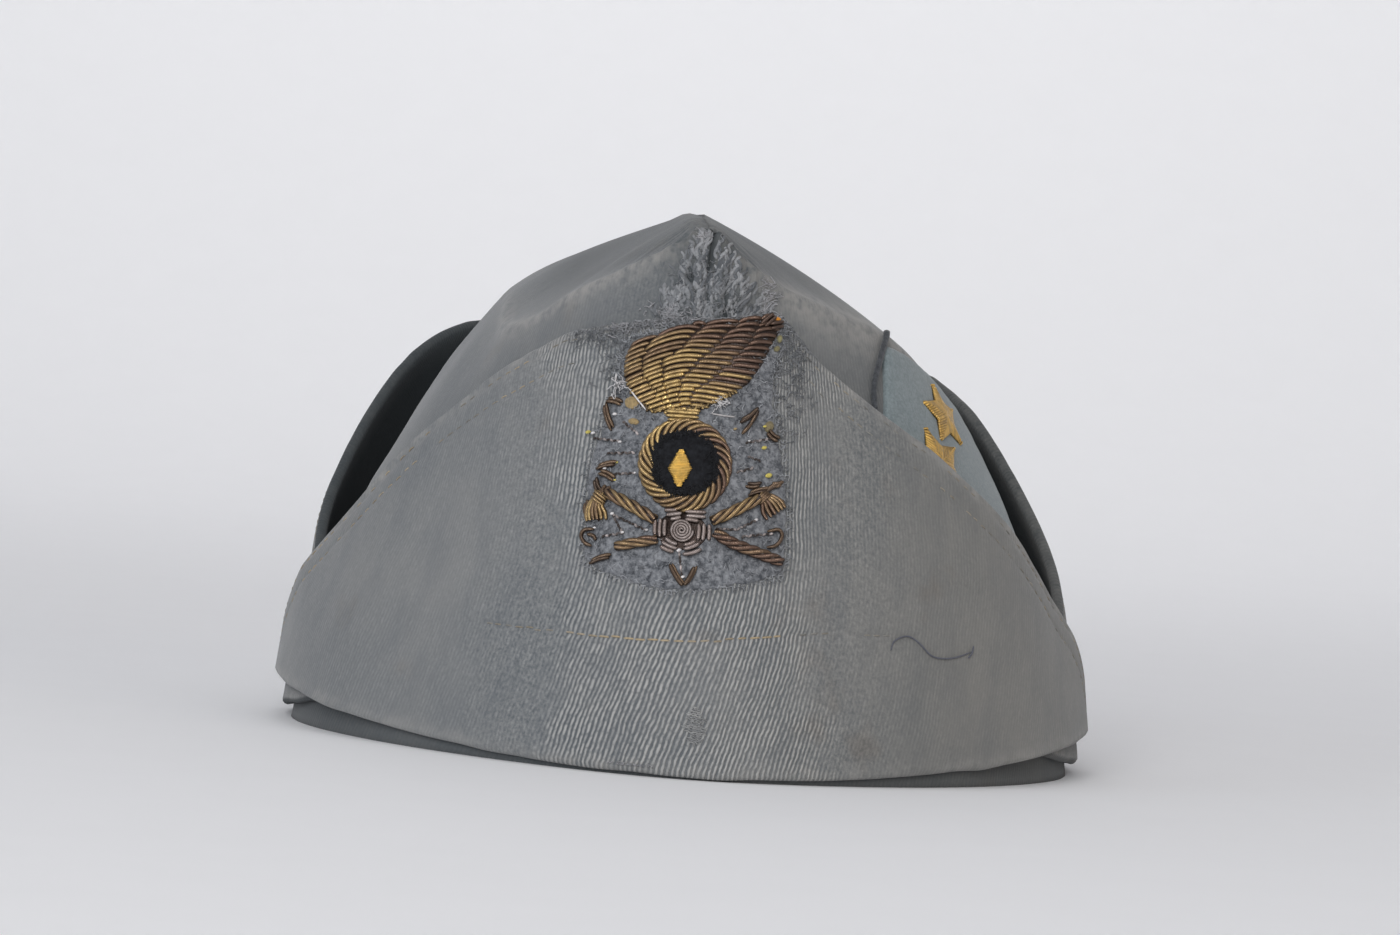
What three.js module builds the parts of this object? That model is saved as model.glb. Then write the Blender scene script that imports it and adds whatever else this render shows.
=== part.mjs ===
// Side cap of worn wool twill: a tent-shaped crown, a turned-up front flap, a turned-up curtain
// round the sides and back, an embroidered badge on the flap and a starred patch on the crown.
// Millimetres, +Z up, front towards -Y, rim on z = 0. Left is -X and right is +X, as met from the front.

import * as THREE from 'three';

// Cloth
const CROWN_WALL = 1.8;
const FLAP_WALL = 2.4;
const CURTAIN_WALL = 2.4;
const LAYER_GAP = 0.35;
const SEAM_GAP = 0.3;        // between the crown's two panels
const LIFT_POWER = 1.7;      // how late a turned-up edge leaves the crown
const OUTWARD_FLATTEN = 0.3; // layers stand off sideways more than upwards
const PROW_SOFTEN = 0.03;    // layers round the prow over this share of the way aft

// Where the bands begin and end, as a share of the way from the prow to the stern
const STATIONS = 28;
const FLAP_LAST = 16;
const CURTAIN_FIRST = 10;
const FLAP_CLIMB = 3;        // stations over which the flap climbs onto the curtain

// Crown ribs run from the rim over the shoulder to the ridge
const SHOULDER_RISE = 0.68;  // share of a rib that lies below the shoulder
const RISE_STEPS = 16;
const FOOT_UPRIGHT = 0.62;   // how upright the wall leaves the rim
const FOOT_REACH = 0.4;
const SHOULDER_REACH = 0.33;
const RIDGE_FLATTEN = 0.75;

const RIBS = [
  { at: 0.000, rim_x: 0, rim_y: -101, ridge_x: -1.5, ridge_y: -75, ridge_z: 109, crease: 1 },
  { at: 0.143, rim_x: 31, rim_y: -90, ridge_x: -3, ridge_y: -60, ridge_z: 112, crease: 0.85 },
  { at: 0.286, rim_x: 61, rim_y: -63, ridge_x: -4.5, ridge_y: -38, ridge_z: 114, crease: 0.7 },
  { at: 0.429, rim_x: 80.5, rim_y: -26, ridge_x: -4.8, ridge_y: -14, ridge_z: 114.5, crease: 0.35 },
  { at: 0.571, rim_x: 83.5, rim_y: 14, ridge_x: -4.5, ridge_y: 12, ridge_z: 114, crease: 0.2 },
  { at: 0.714, rim_x: 71, rim_y: 58, ridge_x: -3.5, ridge_y: 42, ridge_z: 112, crease: 0.2 },
  { at: 0.857, rim_x: 42, rim_y: 91, ridge_x: -2, ridge_y: 68, ridge_z: 108, crease: 0.4 },
  { at: 1.000, rim_x: 0, rim_y: 104, ridge_x: -1, ridge_y: 84, ridge_z: 102, crease: 0.8 },
];

const SHOULDERS = [
  { at: 0.000, left_x: -1.5, left_y: -75, left_z: 109, right_x: -1.5, right_y: -75, right_z: 109 },
  { at: 0.143, left_x: -27, left_y: -59, left_z: 95, right_x: 15, right_y: -68, right_z: 97.5 },
  { at: 0.286, left_x: -42, left_y: -40, left_z: 86.5, right_x: 37, right_y: -47, right_z: 90.5 },
  { at: 0.429, left_x: -44, left_y: -16, left_z: 94, right_x: 49, right_y: -16, right_z: 81.5 },
  { at: 0.571, left_x: -45, left_y: 12, left_z: 96, right_x: 52, right_y: 12, right_z: 79.5 },
  { at: 0.714, left_x: -42, left_y: 46, left_z: 96, right_x: 49, right_y: 46, right_z: 83 },
  { at: 0.857, left_x: -29, left_y: 73, left_z: 95, right_x: 31, right_y: 73, right_z: 94 },
  { at: 1.000, left_x: -1, left_y: 84, left_z: 102, right_x: -1, right_y: 84, right_z: 102 },
];

const FLAP_EDGES = [
  { at: 0.000, hem: 0.4, left_top: 90.5, right_top: 90.5, left_lift: 1.2, right_lift: 1.2 },
  { at: 0.075, hem: 0.6, left_top: 88.5, right_top: 92.4, left_lift: 1.3, right_lift: 1.3 },
  { at: 0.105, hem: 0.8, left_top: 87.2, right_top: 92.2, left_lift: 1.4, right_lift: 1.4 },
  { at: 0.143, hem: 1.2, left_top: 84.8, right_top: 85.4, left_lift: 1.5, right_lift: 1.6 },
  { at: 0.286, hem: 3.8, left_top: 67.8, right_top: 62.5, left_lift: 2.4, right_lift: 4 },
  { at: 0.429, hem: 7.8, left_top: 39, right_top: 35.5, left_lift: 0.6, right_lift: 0.6 },
  { at: 0.571, hem: 9, left_top: 14, right_top: 14, left_lift: 0.4, right_lift: 0.4 },
];

const CURTAIN_EDGES = [
  { at: 0.357, hem: 6, left_top: 24, right_top: 23, left_lift: 0, right_lift: 0 },
  { at: 0.429, hem: 4, left_top: 28, right_top: 26, left_lift: 0.8, right_lift: 0.6 },
  { at: 0.571, hem: 1, left_top: 52, right_top: 48, left_lift: 7, right_lift: 5 },
  { at: 0.714, hem: 0.4, left_top: 82, right_top: 77, left_lift: 11.5, right_lift: 5 },
  { at: 0.857, hem: 0.4, left_top: 91, right_top: 88, left_lift: 8, right_lift: 5 },
  { at: 1.000, hem: 0.4, left_top: 94, right_top: 94, left_lift: 6, right_lift: 6 },
];

// Columns that pass the prow and the stern without a corner
const LEVEL_COLUMNS = new Set(['rim_y', 'left_y', 'right_y', 'crease', 'hem', 'left_top', 'right_top',
  'left_lift', 'right_lift']);

const BAND_STEPS = 9;
const NOSE_STEPS = 4;

// Badge, as x and z on the face of the flap
const BADGE_HEART = [-2, 60];
const BACKING_OUTLINE = [
  [-20.4, 40.4], [-10.2, 37.1], [-1.4, 36.5], [9.3, 38.4], [17.4, 41.2], [18, 47.8], [17.4, 57], [15.4, 66.5],
  [14, 72.5], [13.4, 79.4], [14.2, 85], [14.6, 89.4], [13.4, 91.2], [10, 91.5], [6.7, 90.9], [2.6, 90.1],
  [-1.4, 89.5], [-6.1, 88.4], [-9.6, 86.8], [-14.2, 85.6], [-16.6, 83.4], [-17.2, 79.5], [-17, 76],
  [-19.2, 70], [-21.8, 58], [-21.4, 48],
];
const FLAME_HEART = [-3, 80];
const FLAME_OUTLINE = [
  [-3.6, 70.9], [0, 71.8], [3.9, 74.3], [7.8, 77.3], [9.9, 80.2], [11.4, 83.4], [12.9, 87], [13.7, 89.4],
  [12.8, 90.8], [10, 91], [6.7, 90.4], [2.6, 89.6], [-1.4, 89], [-6.1, 87.9], [-9.4, 86.2], [-13.6, 84.8],
  [-15.5, 83], [-16.2, 79.9], [-16, 77.2], [-15, 74.6], [-13.4, 72.6], [-11.4, 71.2], [-7.4, 70.7],
];
const BACKING_THICK = 1;
const FLAME_THICK = 1.6;
const FLAME_DOME = 0.35;
const RING_HEART = [-2.8, 60.7];
const RING_OUTER = 9.2;
const RING_ROPE = 1.55;
const DISC_HEART = [-2.8, 60.7];
const DISC_RADIUS = 5.4;
const DISC_THICK = 0.9;
const MARK_HEART = [-3.5, 59.8];
const MARK_HALF_WIDTH = 2.2;
const MARK_HALF_HEIGHT = 3.9;
const MARK_SIDES = 4;
const MARK_THICK = 0.9;
const KNOT_HEART = [-2.1, 47.2];
const KNOT_HALF_WIDTH = 5.6;
const KNOT_HALF_HEIGHT = 3.9;
const KNOT_THICK = 2.2;
const KNOT_DOME = 0.4;

const BADGE_ROPES = [
  { name: 'badge_arm_upper_left', radius: 1.3, path: [[-8.2, 49.4], [-12, 51.4], [-15.5, 52.8]] },
  { name: 'badge_arm_upper_right', radius: 1.3, path: [[4.4, 50.6], [7.8, 53], [11.4, 54.8]] },
  { name: 'badge_arm_lower_left', radius: 1.3, path: [[-8, 45.3], [-11, 44.5], [-14.4, 43.5]] },
  { name: 'badge_arm_lower_right', radius: 1.3, path: [[4.2, 46.7], [10.2, 44.8], [15.8, 42.9]] },
  { name: 'badge_binding_left', radius: 1.5, path: [[-19, 55.4], [-18.7, 52], [-17.9, 48.4]] },
  { name: 'badge_binding_right', radius: 1.5, path: [[14.2, 58], [14.8, 54.4], [15.4, 51]] },
  { name: 'badge_chevron', radius: 0.8,
    path: [[-3.9, 41.2], [-2.6, 39.4], [-1.3, 38], [0, 39.5], [1.3, 41.4]] },
];

// Rank patch on the right wall of the crown: rows from a low place to a high one,
// each place as a share of the way aft and a height
const PATCH_ROWS = [
  { low_at: 0.226, low: 66, high_at: 0.265, high: 88.5 },
  { low_at: 0.268, low: 61.5, high_at: 0.303, high: 87 },
  { low_at: 0.315, low: 54, high_at: 0.345, high: 84.5 },
  { low_at: 0.360, low: 45.5, high_at: 0.388, high: 82 },
  { low_at: 0.405, low: 38, high_at: 0.430, high: 79.5 },
  { low_at: 0.450, low: 33, high_at: 0.470, high: 77.5 },
];
const PATCH_THICK = 1;
const PIPING_RADIUS = 0.8;
const PIPING_PATH = [[0.220, 67], [0.226, 74], [0.234, 80], [0.245, 85], [0.259, 89.5]];
const STAR_THICK = 1.1;
const STAR_DOME = 0.5;
const STAR_POINTS = 5;
const STAR_WAIST = 0.42;
const STARS = [
  { name: 'rank_star_fore', at: 0.288, height: 65.6, reach: 7, turn: 8 },
  { name: 'rank_star_aft', at: 0.335, height: 75.2, reach: 7, turn: -6 },
];

const COLOURS = {
  crown: 0x6b6e71, front_flap: 0x6c6e6f, side_curtain: 0x686b6e, badge_backing: 0x5f6570,
  badge_flame: 0x8a6a35, badge_ring: 0x8d7350, badge_disc: 0x15161a, badge_mark: 0xd6a03c,
  badge_knot: 0x7d6a62, badge_rope: 0x6d523a, rank_patch: 0x6a767a, rank_piping: 0x23262c,
  rank_star: 0xb98f3e,
};

const WIDE_RINGS = 5;
const SMALL_RINGS = 3;
const PANEL_STEPS = 8;
const ROPE_SIDES = 8;
const RING_STEPS = 28;
const ROUND_STEPS = 18;
const OUTLINE_STEP = 4;
const SEARCH_STEPS = 36;
const NUDGE = 0.001;
const WELD = 1000;           // points that agree to a thousandth are one

const sideName = (side) => (side > 0 ? 'right' : 'left');

// A column of a table at any place between its rows, as a smooth curve through them
function track(table, column, at) {
  const last = table.length - 1;
  let row = 0;
  while (row < last - 1 && at > table[row + 1].at) row += 1;
  const slope = (index) => {
    const onEnd = index === 0 || index === last;
    if (onEnd && LEVEL_COLUMNS.has(column)) return 0;
    const before = table[Math.max(index - 1, 0)];
    const after = table[Math.min(index + 1, last)];
    return (after[column] - before[column]) / (after.at - before.at);
  };
  const span = table[row + 1].at - table[row].at;
  const f = Math.min(Math.max((at - table[row].at) / span, 0), 1);
  const rising = f * f * (3 - 2 * f);
  const leaving = f * (1 - f) * (1 - f);
  const arriving = f * f * (f - 1);
  return table[row][column] * (1 - rising) + table[row + 1][column] * rising
    + (slope(row) * leaving + slope(row + 1) * arriving) * span;
}

function cubic(a, b, c, d, f) {
  const g = 1 - f;
  return new THREE.Vector3()
    .addScaledVector(a, g * g * g).addScaledVector(b, 3 * g * g * f)
    .addScaledVector(c, 3 * g * f * f).addScaledVector(d, f * f * f);
}

// A point on the outside of the crown: at runs prow to stern, rise runs rim to ridge
function ribPoint(side, at, rise) {
  const hand = sideName(side);
  const rim = new THREE.Vector3(side * track(RIBS, 'rim_x', at), track(RIBS, 'rim_y', at), 0);
  const shoulder = new THREE.Vector3(track(SHOULDERS, `${hand}_x`, at), track(SHOULDERS, `${hand}_y`, at),
    track(SHOULDERS, `${hand}_z`, at));
  const ridge = new THREE.Vector3(track(RIBS, 'ridge_x', at), track(RIBS, 'ridge_y', at),
    track(RIBS, 'ridge_z', at));
  const crease = track(RIBS, 'crease', at);
  const wall = shoulder.clone().sub(rim);
  const roof = ridge.clone().sub(shoulder);
  const wallLength = wall.length();
  const roofLength = roof.length();
  wall.normalize();
  if (roofLength > NUDGE) roof.normalize(); else roof.copy(wall);
  const between = wall.clone().add(roof).normalize();
  if (rise <= SHOULDER_RISE) {
    const foot = wall.clone().multiplyScalar(1 - FOOT_UPRIGHT).add(new THREE.Vector3(0, 0, FOOT_UPRIGHT));
    const arriving = wall.clone().lerp(between, 1 - crease);
    return cubic(rim, rim.clone().addScaledVector(foot, wallLength * FOOT_REACH),
      shoulder.clone().addScaledVector(arriving, -wallLength * SHOULDER_REACH), shoulder,
      rise / SHOULDER_RISE);
  }
  const leaving = roof.clone().lerp(between, 1 - crease);
  const crest = roof.clone().multiply(new THREE.Vector3(1, 1, RIDGE_FLATTEN));
  return cubic(shoulder, shoulder.clone().addScaledVector(leaving, roofLength * SHOULDER_REACH),
    ridge.clone().addScaledVector(crest, -roofLength * SHOULDER_REACH), ridge,
    (rise - SHOULDER_RISE) / (1 - SHOULDER_RISE));
}

// The crown's wall at a height: the point and the way out of the cloth
function wallAt(side, at, height) {
  let low = 0;
  let high = 1;
  for (let step = 0; step < SEARCH_STEPS; step += 1) {
    const middle = (low + high) / 2;
    if (ribPoint(side, at, middle).z < height) low = middle; else high = middle;
  }
  const rise = (low + high) / 2;
  const below = ribPoint(side, at, Math.max(rise - NUDGE, 0));
  const up = ribPoint(side, at, Math.min(rise + NUDGE, 1)).sub(below);
  const astride = (place) => {
    if (place < 0) return ribPoint(-side, -place, rise);
    if (place > 1) return ribPoint(-side, 2 - place, rise);
    return ribPoint(side, place, rise);
  };
  const along = astride(at + PROW_SOFTEN).sub(astride(at - PROW_SOFTEN));
  const outward = along.cross(up).multiplyScalar(side).normalize();
  return { point: ribPoint(side, at, rise), outward };
}

const FLATTENING = new THREE.Vector3(1, 1, OUTWARD_FLATTEN);
const sidewaysOf = (outward) => outward.clone().multiply(FLATTENING).normalize();

function curtainLift(side, at, height) {
  const hand = sideName(side);
  const hem = track(CURTAIN_EDGES, 'hem', at);
  const top = track(CURTAIN_EDGES, `${hand}_top`, at);
  const share = Math.min(Math.max((height - hem) / (top - hem), 0), 1);
  return LAYER_GAP + track(CURTAIN_EDGES, `${hand}_lift`, at) * share ** LIFT_POWER;
}

function flapLift(side, at, height) {
  const hand = sideName(side);
  const hem = track(FLAP_EDGES, 'hem', at);
  const top = track(FLAP_EDGES, `${hand}_top`, at);
  const share = Math.min(Math.max((height - hem) / (top - hem), 0), 1);
  const meeting = CURTAIN_FIRST / STATIONS;
  const climb = THREE.MathUtils.smoothstep(at, meeting - FLAP_CLIMB / STATIONS, meeting);
  const onCurtain = Math.max(at, meeting);
  const beneath = climb * (curtainLift(side, onCurtain, height) + CURTAIN_WALL);
  return LAYER_GAP + beneath + track(FLAP_EDGES, `${hand}_lift`, at) * share ** LIFT_POWER;
}

// One closed loop of a turned-up band: up its outside, over the edge, down its inside, round the fold
function bandLoop(side, at, table, lift, wall) {
  const hand = sideName(side);
  const low = track(table, 'hem', at) + wall / 2;
  const high = track(table, `${hand}_top`, at) - wall / 2;
  const spine = [];
  for (let step = 0; step <= BAND_STEPS; step += 1) {
    const height = low + (high - low) * step / BAND_STEPS;
    const { point, outward } = wallAt(side, at, height);
    const out = sidewaysOf(outward);
    spine.push({ place: point.clone().addScaledVector(out, lift(side, at, height) + wall / 2), out });
  }
  const half = wall / 2;
  const rounded = (bead, way) => {
    const turned = [];
    for (let step = 1; step < NOSE_STEPS; step += 1) {
      const angle = Math.PI * step / NOSE_STEPS;
      turned.push(bead.place.clone().addScaledVector(bead.out, way * half * Math.cos(angle))
        .add(new THREE.Vector3(0, 0, way * half * Math.sin(angle))));
    }
    return turned;
  };
  return [
    ...spine.map(({ place, out }) => place.clone().addScaledVector(out, half)),
    ...rounded(spine[BAND_STEPS], 1),
    ...spine.map(({ place, out }) => place.clone().addScaledVector(out, -half)).reverse(),
    ...rounded(spine[0], -1),
  ];
}

// A closed surface through a row of loops, with flat ends
function skinOf(loops, joined) {
  const count = loops[0].length;
  const faces = [];
  const bays = joined ? loops.length : loops.length - 1;
  for (let bay = 0; bay < bays; bay += 1) {
    for (let step = 0; step < count; step += 1) {
      const next = (step + 1) % count;
      const here = bay * count;
      const there = ((bay + 1) % loops.length) * count;
      faces.push([here + step, there + step, there + next], [here + step, there + next, here + next]);
    }
  }
  const points = loops.flat();
  if (!joined) {
    for (const [first, flip] of [[0, false], [(loops.length - 1) * count, true]]) {
      const heart = points.length;
      const middle = new THREE.Vector3();
      for (let step = 0; step < count; step += 1) middle.addScaledVector(points[first + step], 1 / count);
      points.push(middle);
      for (let step = 0; step < count; step += 1) {
        const next = first + (step + 1) % count;
        faces.push(flip ? [heart, next, first + step] : [heart, first + step, next]);
      }
    }
  }
  return { points, faces };
}

function volumeOf({ points, faces }) {
  return faces.reduce((sum, [a, b, c]) => sum + points[a].dot(points[b].clone().cross(points[c])), 0);
}

function geometryOf(skin) {
  const outside = volumeOf(skin) > 0;
  const geometry = new THREE.BufferGeometry();
  const places = skin.points.flatMap((point) => point.toArray());
  geometry.setAttribute('position', new THREE.Float32BufferAttribute(places, 3));
  geometry.setIndex(skin.faces.flatMap(([a, b, c]) => (outside ? [a, b, c] : [a, c, b])));
  geometry.computeVertexNormals();
  return geometry;
}

// The crown's outside as one surface: its corners, the way out at each, the corners on the centre seam
// and the faces of each side
function crownSurface() {
  const points = [];
  const seam = new Set();
  const known = new Map();
  const cornerAt = (side, station, step) => {
    const point = ribPoint(side, station / STATIONS, step / RISE_STEPS);
    const key = point.toArray().map((value) => Math.round(value * WELD)).join();
    if (!known.has(key)) { known.set(key, points.length); points.push(point); }
    const corner = known.get(key);
    if (station === 0 || station === STATIONS || step === RISE_STEPS) seam.add(corner);
    return corner;
  };
  const facesOf = (side) => {
    const faces = [];
    for (let station = 0; station < STATIONS; station += 1) {
      for (let step = 0; step < RISE_STEPS; step += 1) {
        const [a, b] = [cornerAt(side, station, step), cornerAt(side, station + 1, step)];
        const [c, d] = [cornerAt(side, station + 1, step + 1), cornerAt(side, station, step + 1)];
        faces.push(...(side > 0 ? [[a, b, c], [a, c, d]] : [[a, c, b], [a, d, c]]));
      }
    }
    return faces.filter(([a, b, c]) => a !== b && b !== c && c !== a);
  };
  const sides = { left: facesOf(-1), right: facesOf(1) };
  const normals = points.map(() => new THREE.Vector3());
  for (const [a, b, c] of [...sides.left, ...sides.right]) {
    const facing = points[b].clone().sub(points[a]).cross(points[c].clone().sub(points[a]));
    for (const corner of [a, b, c]) normals[corner].add(facing);
  }
  normals.forEach((normal, corner) => {
    if (points[corner].z < NUDGE) normal.z = 0;
    normal.normalize();
  });
  return { points, normals, seam, sides };
}

// One panel of the crown: a wall of cloth from the rim to the centre seam
function crownPanelGeometry({ points, normals, seam, sides }, side) {
  const faces = sides[sideName(side)];
  const corners = [...new Set(faces.flat())];
  const count = corners.length;
  const placeOf = new Map(corners.map((corner, place) => [corner, place]));
  const outer = corners.map((corner) => {
    const besideSeam = seam.has(corner) ? side * SEAM_GAP / 2 : 0;
    return points[corner].clone().add(new THREE.Vector3(besideSeam, 0, 0));
  });
  const inner = corners.map((corner, place) => (
    outer[place].clone().addScaledVector(normals[corner], -CROWN_WALL)));
  const outside = faces.map((face) => face.map((corner) => placeOf.get(corner)));
  const inside = outside.map(([a, b, c]) => [a + count, c + count, b + count]);
  const sidesOf = ([a, b, c]) => [[a, b], [b, c], [c, a]];
  const met = new Set(outside.flatMap((face) => sidesOf(face).map((edge) => edge.join())));
  const openEdges = outside.flatMap(sidesOf).filter(([from, to]) => !met.has([to, from].join()));
  const edgeWall = openEdges.flatMap(([from, to]) => (
    [[to, from, from + count], [to, from + count, to + count]]));
  return geometryOf({ points: [...outer, ...inner], faces: [...outside, ...inside, ...edgeWall] });
}

function flapGeometry() {
  const loops = [];
  for (let station = -FLAP_LAST; station <= FLAP_LAST; station += 1) {
    const side = station < 0 ? -1 : 1;
    loops.push(bandLoop(side, Math.abs(station) / STATIONS, FLAP_EDGES, flapLift, FLAP_WALL));
  }
  return geometryOf(skinOf(loops, false));
}

function curtainGeometry() {
  const loops = [];
  const reach = STATIONS - CURTAIN_FIRST;
  for (let station = -reach; station <= reach; station += 1) {
    const side = station < 0 ? -1 : 1;
    loops.push(bandLoop(side, 1 - Math.abs(station) / STATIONS, CURTAIN_EDGES, curtainLift, CURTAIN_WALL));
  }
  return geometryOf(skinOf(loops, false));
}

// The outside of the flap at x and z
function flapFace(x, z) {
  const side = x < wallAt(1, 0, z).point.x ? -1 : 1;
  const onFlap = (at) => {
    const { point, outward } = wallAt(side, at, z);
    const out = sidewaysOf(outward);
    return { point: point.addScaledVector(out, flapLift(side, at, z) + FLAP_WALL), outward };
  };
  let low = 0;
  let high = CURTAIN_FIRST / STATIONS;
  for (let step = 0; step < SEARCH_STEPS; step += 1) {
    const middle = (low + high) / 2;
    if (side * onFlap(middle).point.x < side * x) low = middle; else high = middle;
  }
  return onFlap((low + high) / 2);
}

const patchFace = (at, z) => wallAt(1, at, z);

// A flat piece laid on a face: a sheet below, a sheet above and a wall round the edge
function slabGeometry(face, places, sheet, edge, low, thick, dome = 0) {
  const layer = (height, doming) => places.map(({ a, b, share }) => {
    const { point, outward } = face(a, b);
    return point.clone().addScaledVector(outward, height - doming * share * share);
  });
  const shift = places.length;
  const below = sheet.map(([a, b, c]) => [a, c, b]);
  const above = sheet.map((corners) => corners.map((corner) => corner + shift));
  const faces = [...below, ...above];
  edge.forEach((here, step) => {
    const next = edge[(step + 1) % edge.length];
    faces.push([here, next, next + shift], [here, next + shift, here + shift]);
  });
  return geometryOf({ points: [...layer(low, 0), ...layer(low + thick, thick * dome)], faces });
}

// A piece with a heart: rings of places from the heart to the outline
function padGeometry(face, { outline, heart, rings }, low, thick, dome = 0) {
  const places = [{ a: heart[0], b: heart[1], share: 0 }];
  for (let ring = 1; ring <= rings; ring += 1) {
    const share = ring / rings;
    for (const [a, b] of outline) {
      places.push({ a: heart[0] + (a - heart[0]) * share, b: heart[1] + (b - heart[1]) * share, share });
    }
  }
  const count = outline.length;
  const place = (ring, step) => 1 + (ring - 1) * count + step % count;
  const sheet = [];
  for (let step = 0; step < count; step += 1) {
    sheet.push([0, place(1, step), place(1, step + 1)]);
    for (let ring = 1; ring < rings; ring += 1) {
      const [a, b] = [place(ring, step), place(ring + 1, step)];
      const [c, d] = [place(ring + 1, step + 1), place(ring, step + 1)];
      sheet.push([a, b, c], [a, c, d]);
    }
  }
  const edge = outline.map((_, step) => place(rings, step));
  return slabGeometry(face, places, sheet, edge, low, thick, dome);
}

// A piece given by rows, each from a low place to a high one
function panelGeometry(face, rows, low, thick) {
  const places = rows.flatMap((row) => Array.from({ length: PANEL_STEPS + 1 }, (_, step) => ({
    a: row.low_at + (row.high_at - row.low_at) * step / PANEL_STEPS,
    b: row.low + (row.high - row.low) * step / PANEL_STEPS,
    share: 0,
  })));
  const place = (row, step) => row * (PANEL_STEPS + 1) + step;
  const last = rows.length - 1;
  const sheet = [];
  for (let row = 0; row < last; row += 1) {
    for (let step = 0; step < PANEL_STEPS; step += 1) {
      const [a, b] = [place(row, step), place(row + 1, step)];
      const [c, d] = [place(row + 1, step + 1), place(row, step + 1)];
      sheet.push([a, b, c], [a, c, d]);
    }
  }
  const rowList = rows.map((_, row) => row);
  const inner = Array.from({ length: PANEL_STEPS - 1 }, (_, step) => step + 1);
  const edge = [
    ...rowList.map((row) => place(row, 0)), ...inner.map((step) => place(last, step)),
    ...[...rowList].reverse().map((row) => place(row, PANEL_STEPS)),
    ...[...inner].reverse().map((step) => place(0, step)),
  ];
  return slabGeometry(face, places, sheet, edge, low, thick);
}

// A cord laid on a face along a path
function ropeGeometry(face, path, low, radius, joined) {
  const spine = path.map(([a, b]) => {
    const { point, outward } = face(a, b);
    return { place: point.clone().addScaledVector(outward, low + radius), outward };
  });
  const last = spine.length - 1;
  const loops = spine.map(({ place, outward }, index) => {
    const before = joined ? spine[(index + last) % spine.length] : spine[Math.max(index - 1, 0)];
    const after = joined ? spine[(index + 1) % spine.length] : spine[Math.min(index + 1, last)];
    const along = after.place.clone().sub(before.place).normalize();
    const across = along.clone().cross(outward).normalize();
    const over = across.clone().cross(along).normalize();
    const loop = [];
    for (let step = 0; step < ROPE_SIDES; step += 1) {
      const angle = 2 * Math.PI * step / ROPE_SIDES;
      loop.push(place.clone().addScaledVector(across, radius * Math.cos(angle))
        .addScaledVector(over, radius * Math.sin(angle)));
    }
    return loop;
  });
  return geometryOf(skinOf(loops, joined));
}

function ovalOutline([x, z], halfWidth, halfHeight, steps) {
  return Array.from({ length: steps }, (_, step) => {
    const angle = 2 * Math.PI * step / steps;
    return [x + halfWidth * Math.cos(angle), z + halfHeight * Math.sin(angle)];
  });
}

// An outline with no side longer than the given step
function finely(outline, step) {
  return outline.flatMap(([a, b], index) => {
    const [c, d] = outline[(index + 1) % outline.length];
    const parts = Math.ceil(Math.hypot(c - a, d - b) / step);
    const at = (part) => [a + (c - a) * part / parts, b + (d - b) * part / parts];
    return Array.from({ length: parts }, (_, part) => at(part));
  });
}

// The patch face near one place, measured in millimetres along and up the cloth
function cornerOfPatch(at, height) {
  const middle = patchFace(at, height).point;
  const perAt = patchFace(at + NUDGE, height).point.distanceTo(middle) / NUDGE;
  const perHeight = patchFace(at, height + NUDGE).point.distanceTo(middle) / NUDGE;
  return (along, up) => patchFace(at + along / perAt, height + up / perHeight);
}

function starOutline(reach, turn) {
  return Array.from({ length: 2 * STAR_POINTS }, (_, step) => {
    const angle = Math.PI / 2 + THREE.MathUtils.degToRad(turn) + Math.PI * step / STAR_POINTS;
    const radius = step % 2 === 0 ? reach : reach * STAR_WAIST;
    return [radius * Math.cos(angle), radius * Math.sin(angle)];
  });
}

const cap = new THREE.Group();
cap.name = 'side_cap';

function add(name, geometry, colour, metalness, roughness) {
  const material = new THREE.MeshStandardMaterial({ color: colour, metalness, roughness });
  const mesh = new THREE.Mesh(geometry, material);
  mesh.name = name;
  cap.add(mesh);
}

const CLOTH = [0, 0.95];
const BULLION = [0.6, 0.55];

const crown = crownSurface();
add('crown_left_panel', crownPanelGeometry(crown, -1), COLOURS.crown, ...CLOTH);
add('crown_right_panel', crownPanelGeometry(crown, 1), COLOURS.crown, ...CLOTH);
add('side_curtain', curtainGeometry(), COLOURS.side_curtain, ...CLOTH);
add('front_flap', flapGeometry(), COLOURS.front_flap, ...CLOTH);

const onBacking = LAYER_GAP + BACKING_THICK + LAYER_GAP;
const onDisc = onBacking + DISC_THICK + LAYER_GAP;
const ringPath = ovalOutline(RING_HEART, RING_OUTER - RING_ROPE, RING_OUTER - RING_ROPE, RING_STEPS);
const discOutline = ovalOutline(DISC_HEART, DISC_RADIUS, DISC_RADIUS, ROUND_STEPS);
const knotOutline = ovalOutline(KNOT_HEART, KNOT_HALF_WIDTH, KNOT_HALF_HEIGHT, ROUND_STEPS);
const markOutline = ovalOutline(MARK_HEART, MARK_HALF_WIDTH, MARK_HALF_HEIGHT, MARK_SIDES);
const backing = { outline: finely(BACKING_OUTLINE, OUTLINE_STEP), heart: BADGE_HEART, rings: WIDE_RINGS };
const flame = { outline: finely(FLAME_OUTLINE, OUTLINE_STEP), heart: FLAME_HEART, rings: WIDE_RINGS };
const disc = { outline: discOutline, heart: DISC_HEART, rings: SMALL_RINGS };
const mark = { outline: markOutline, heart: MARK_HEART, rings: SMALL_RINGS };
const knot = { outline: knotOutline, heart: KNOT_HEART, rings: SMALL_RINGS };
add('badge_backing', padGeometry(flapFace, backing, LAYER_GAP, BACKING_THICK),
  COLOURS.badge_backing, ...CLOTH);
add('badge_flame', padGeometry(flapFace, flame, onBacking, FLAME_THICK, FLAME_DOME),
  COLOURS.badge_flame, ...BULLION);
add('badge_ring', ropeGeometry(flapFace, ringPath, onBacking, RING_ROPE, true),
  COLOURS.badge_ring, ...BULLION);
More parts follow.
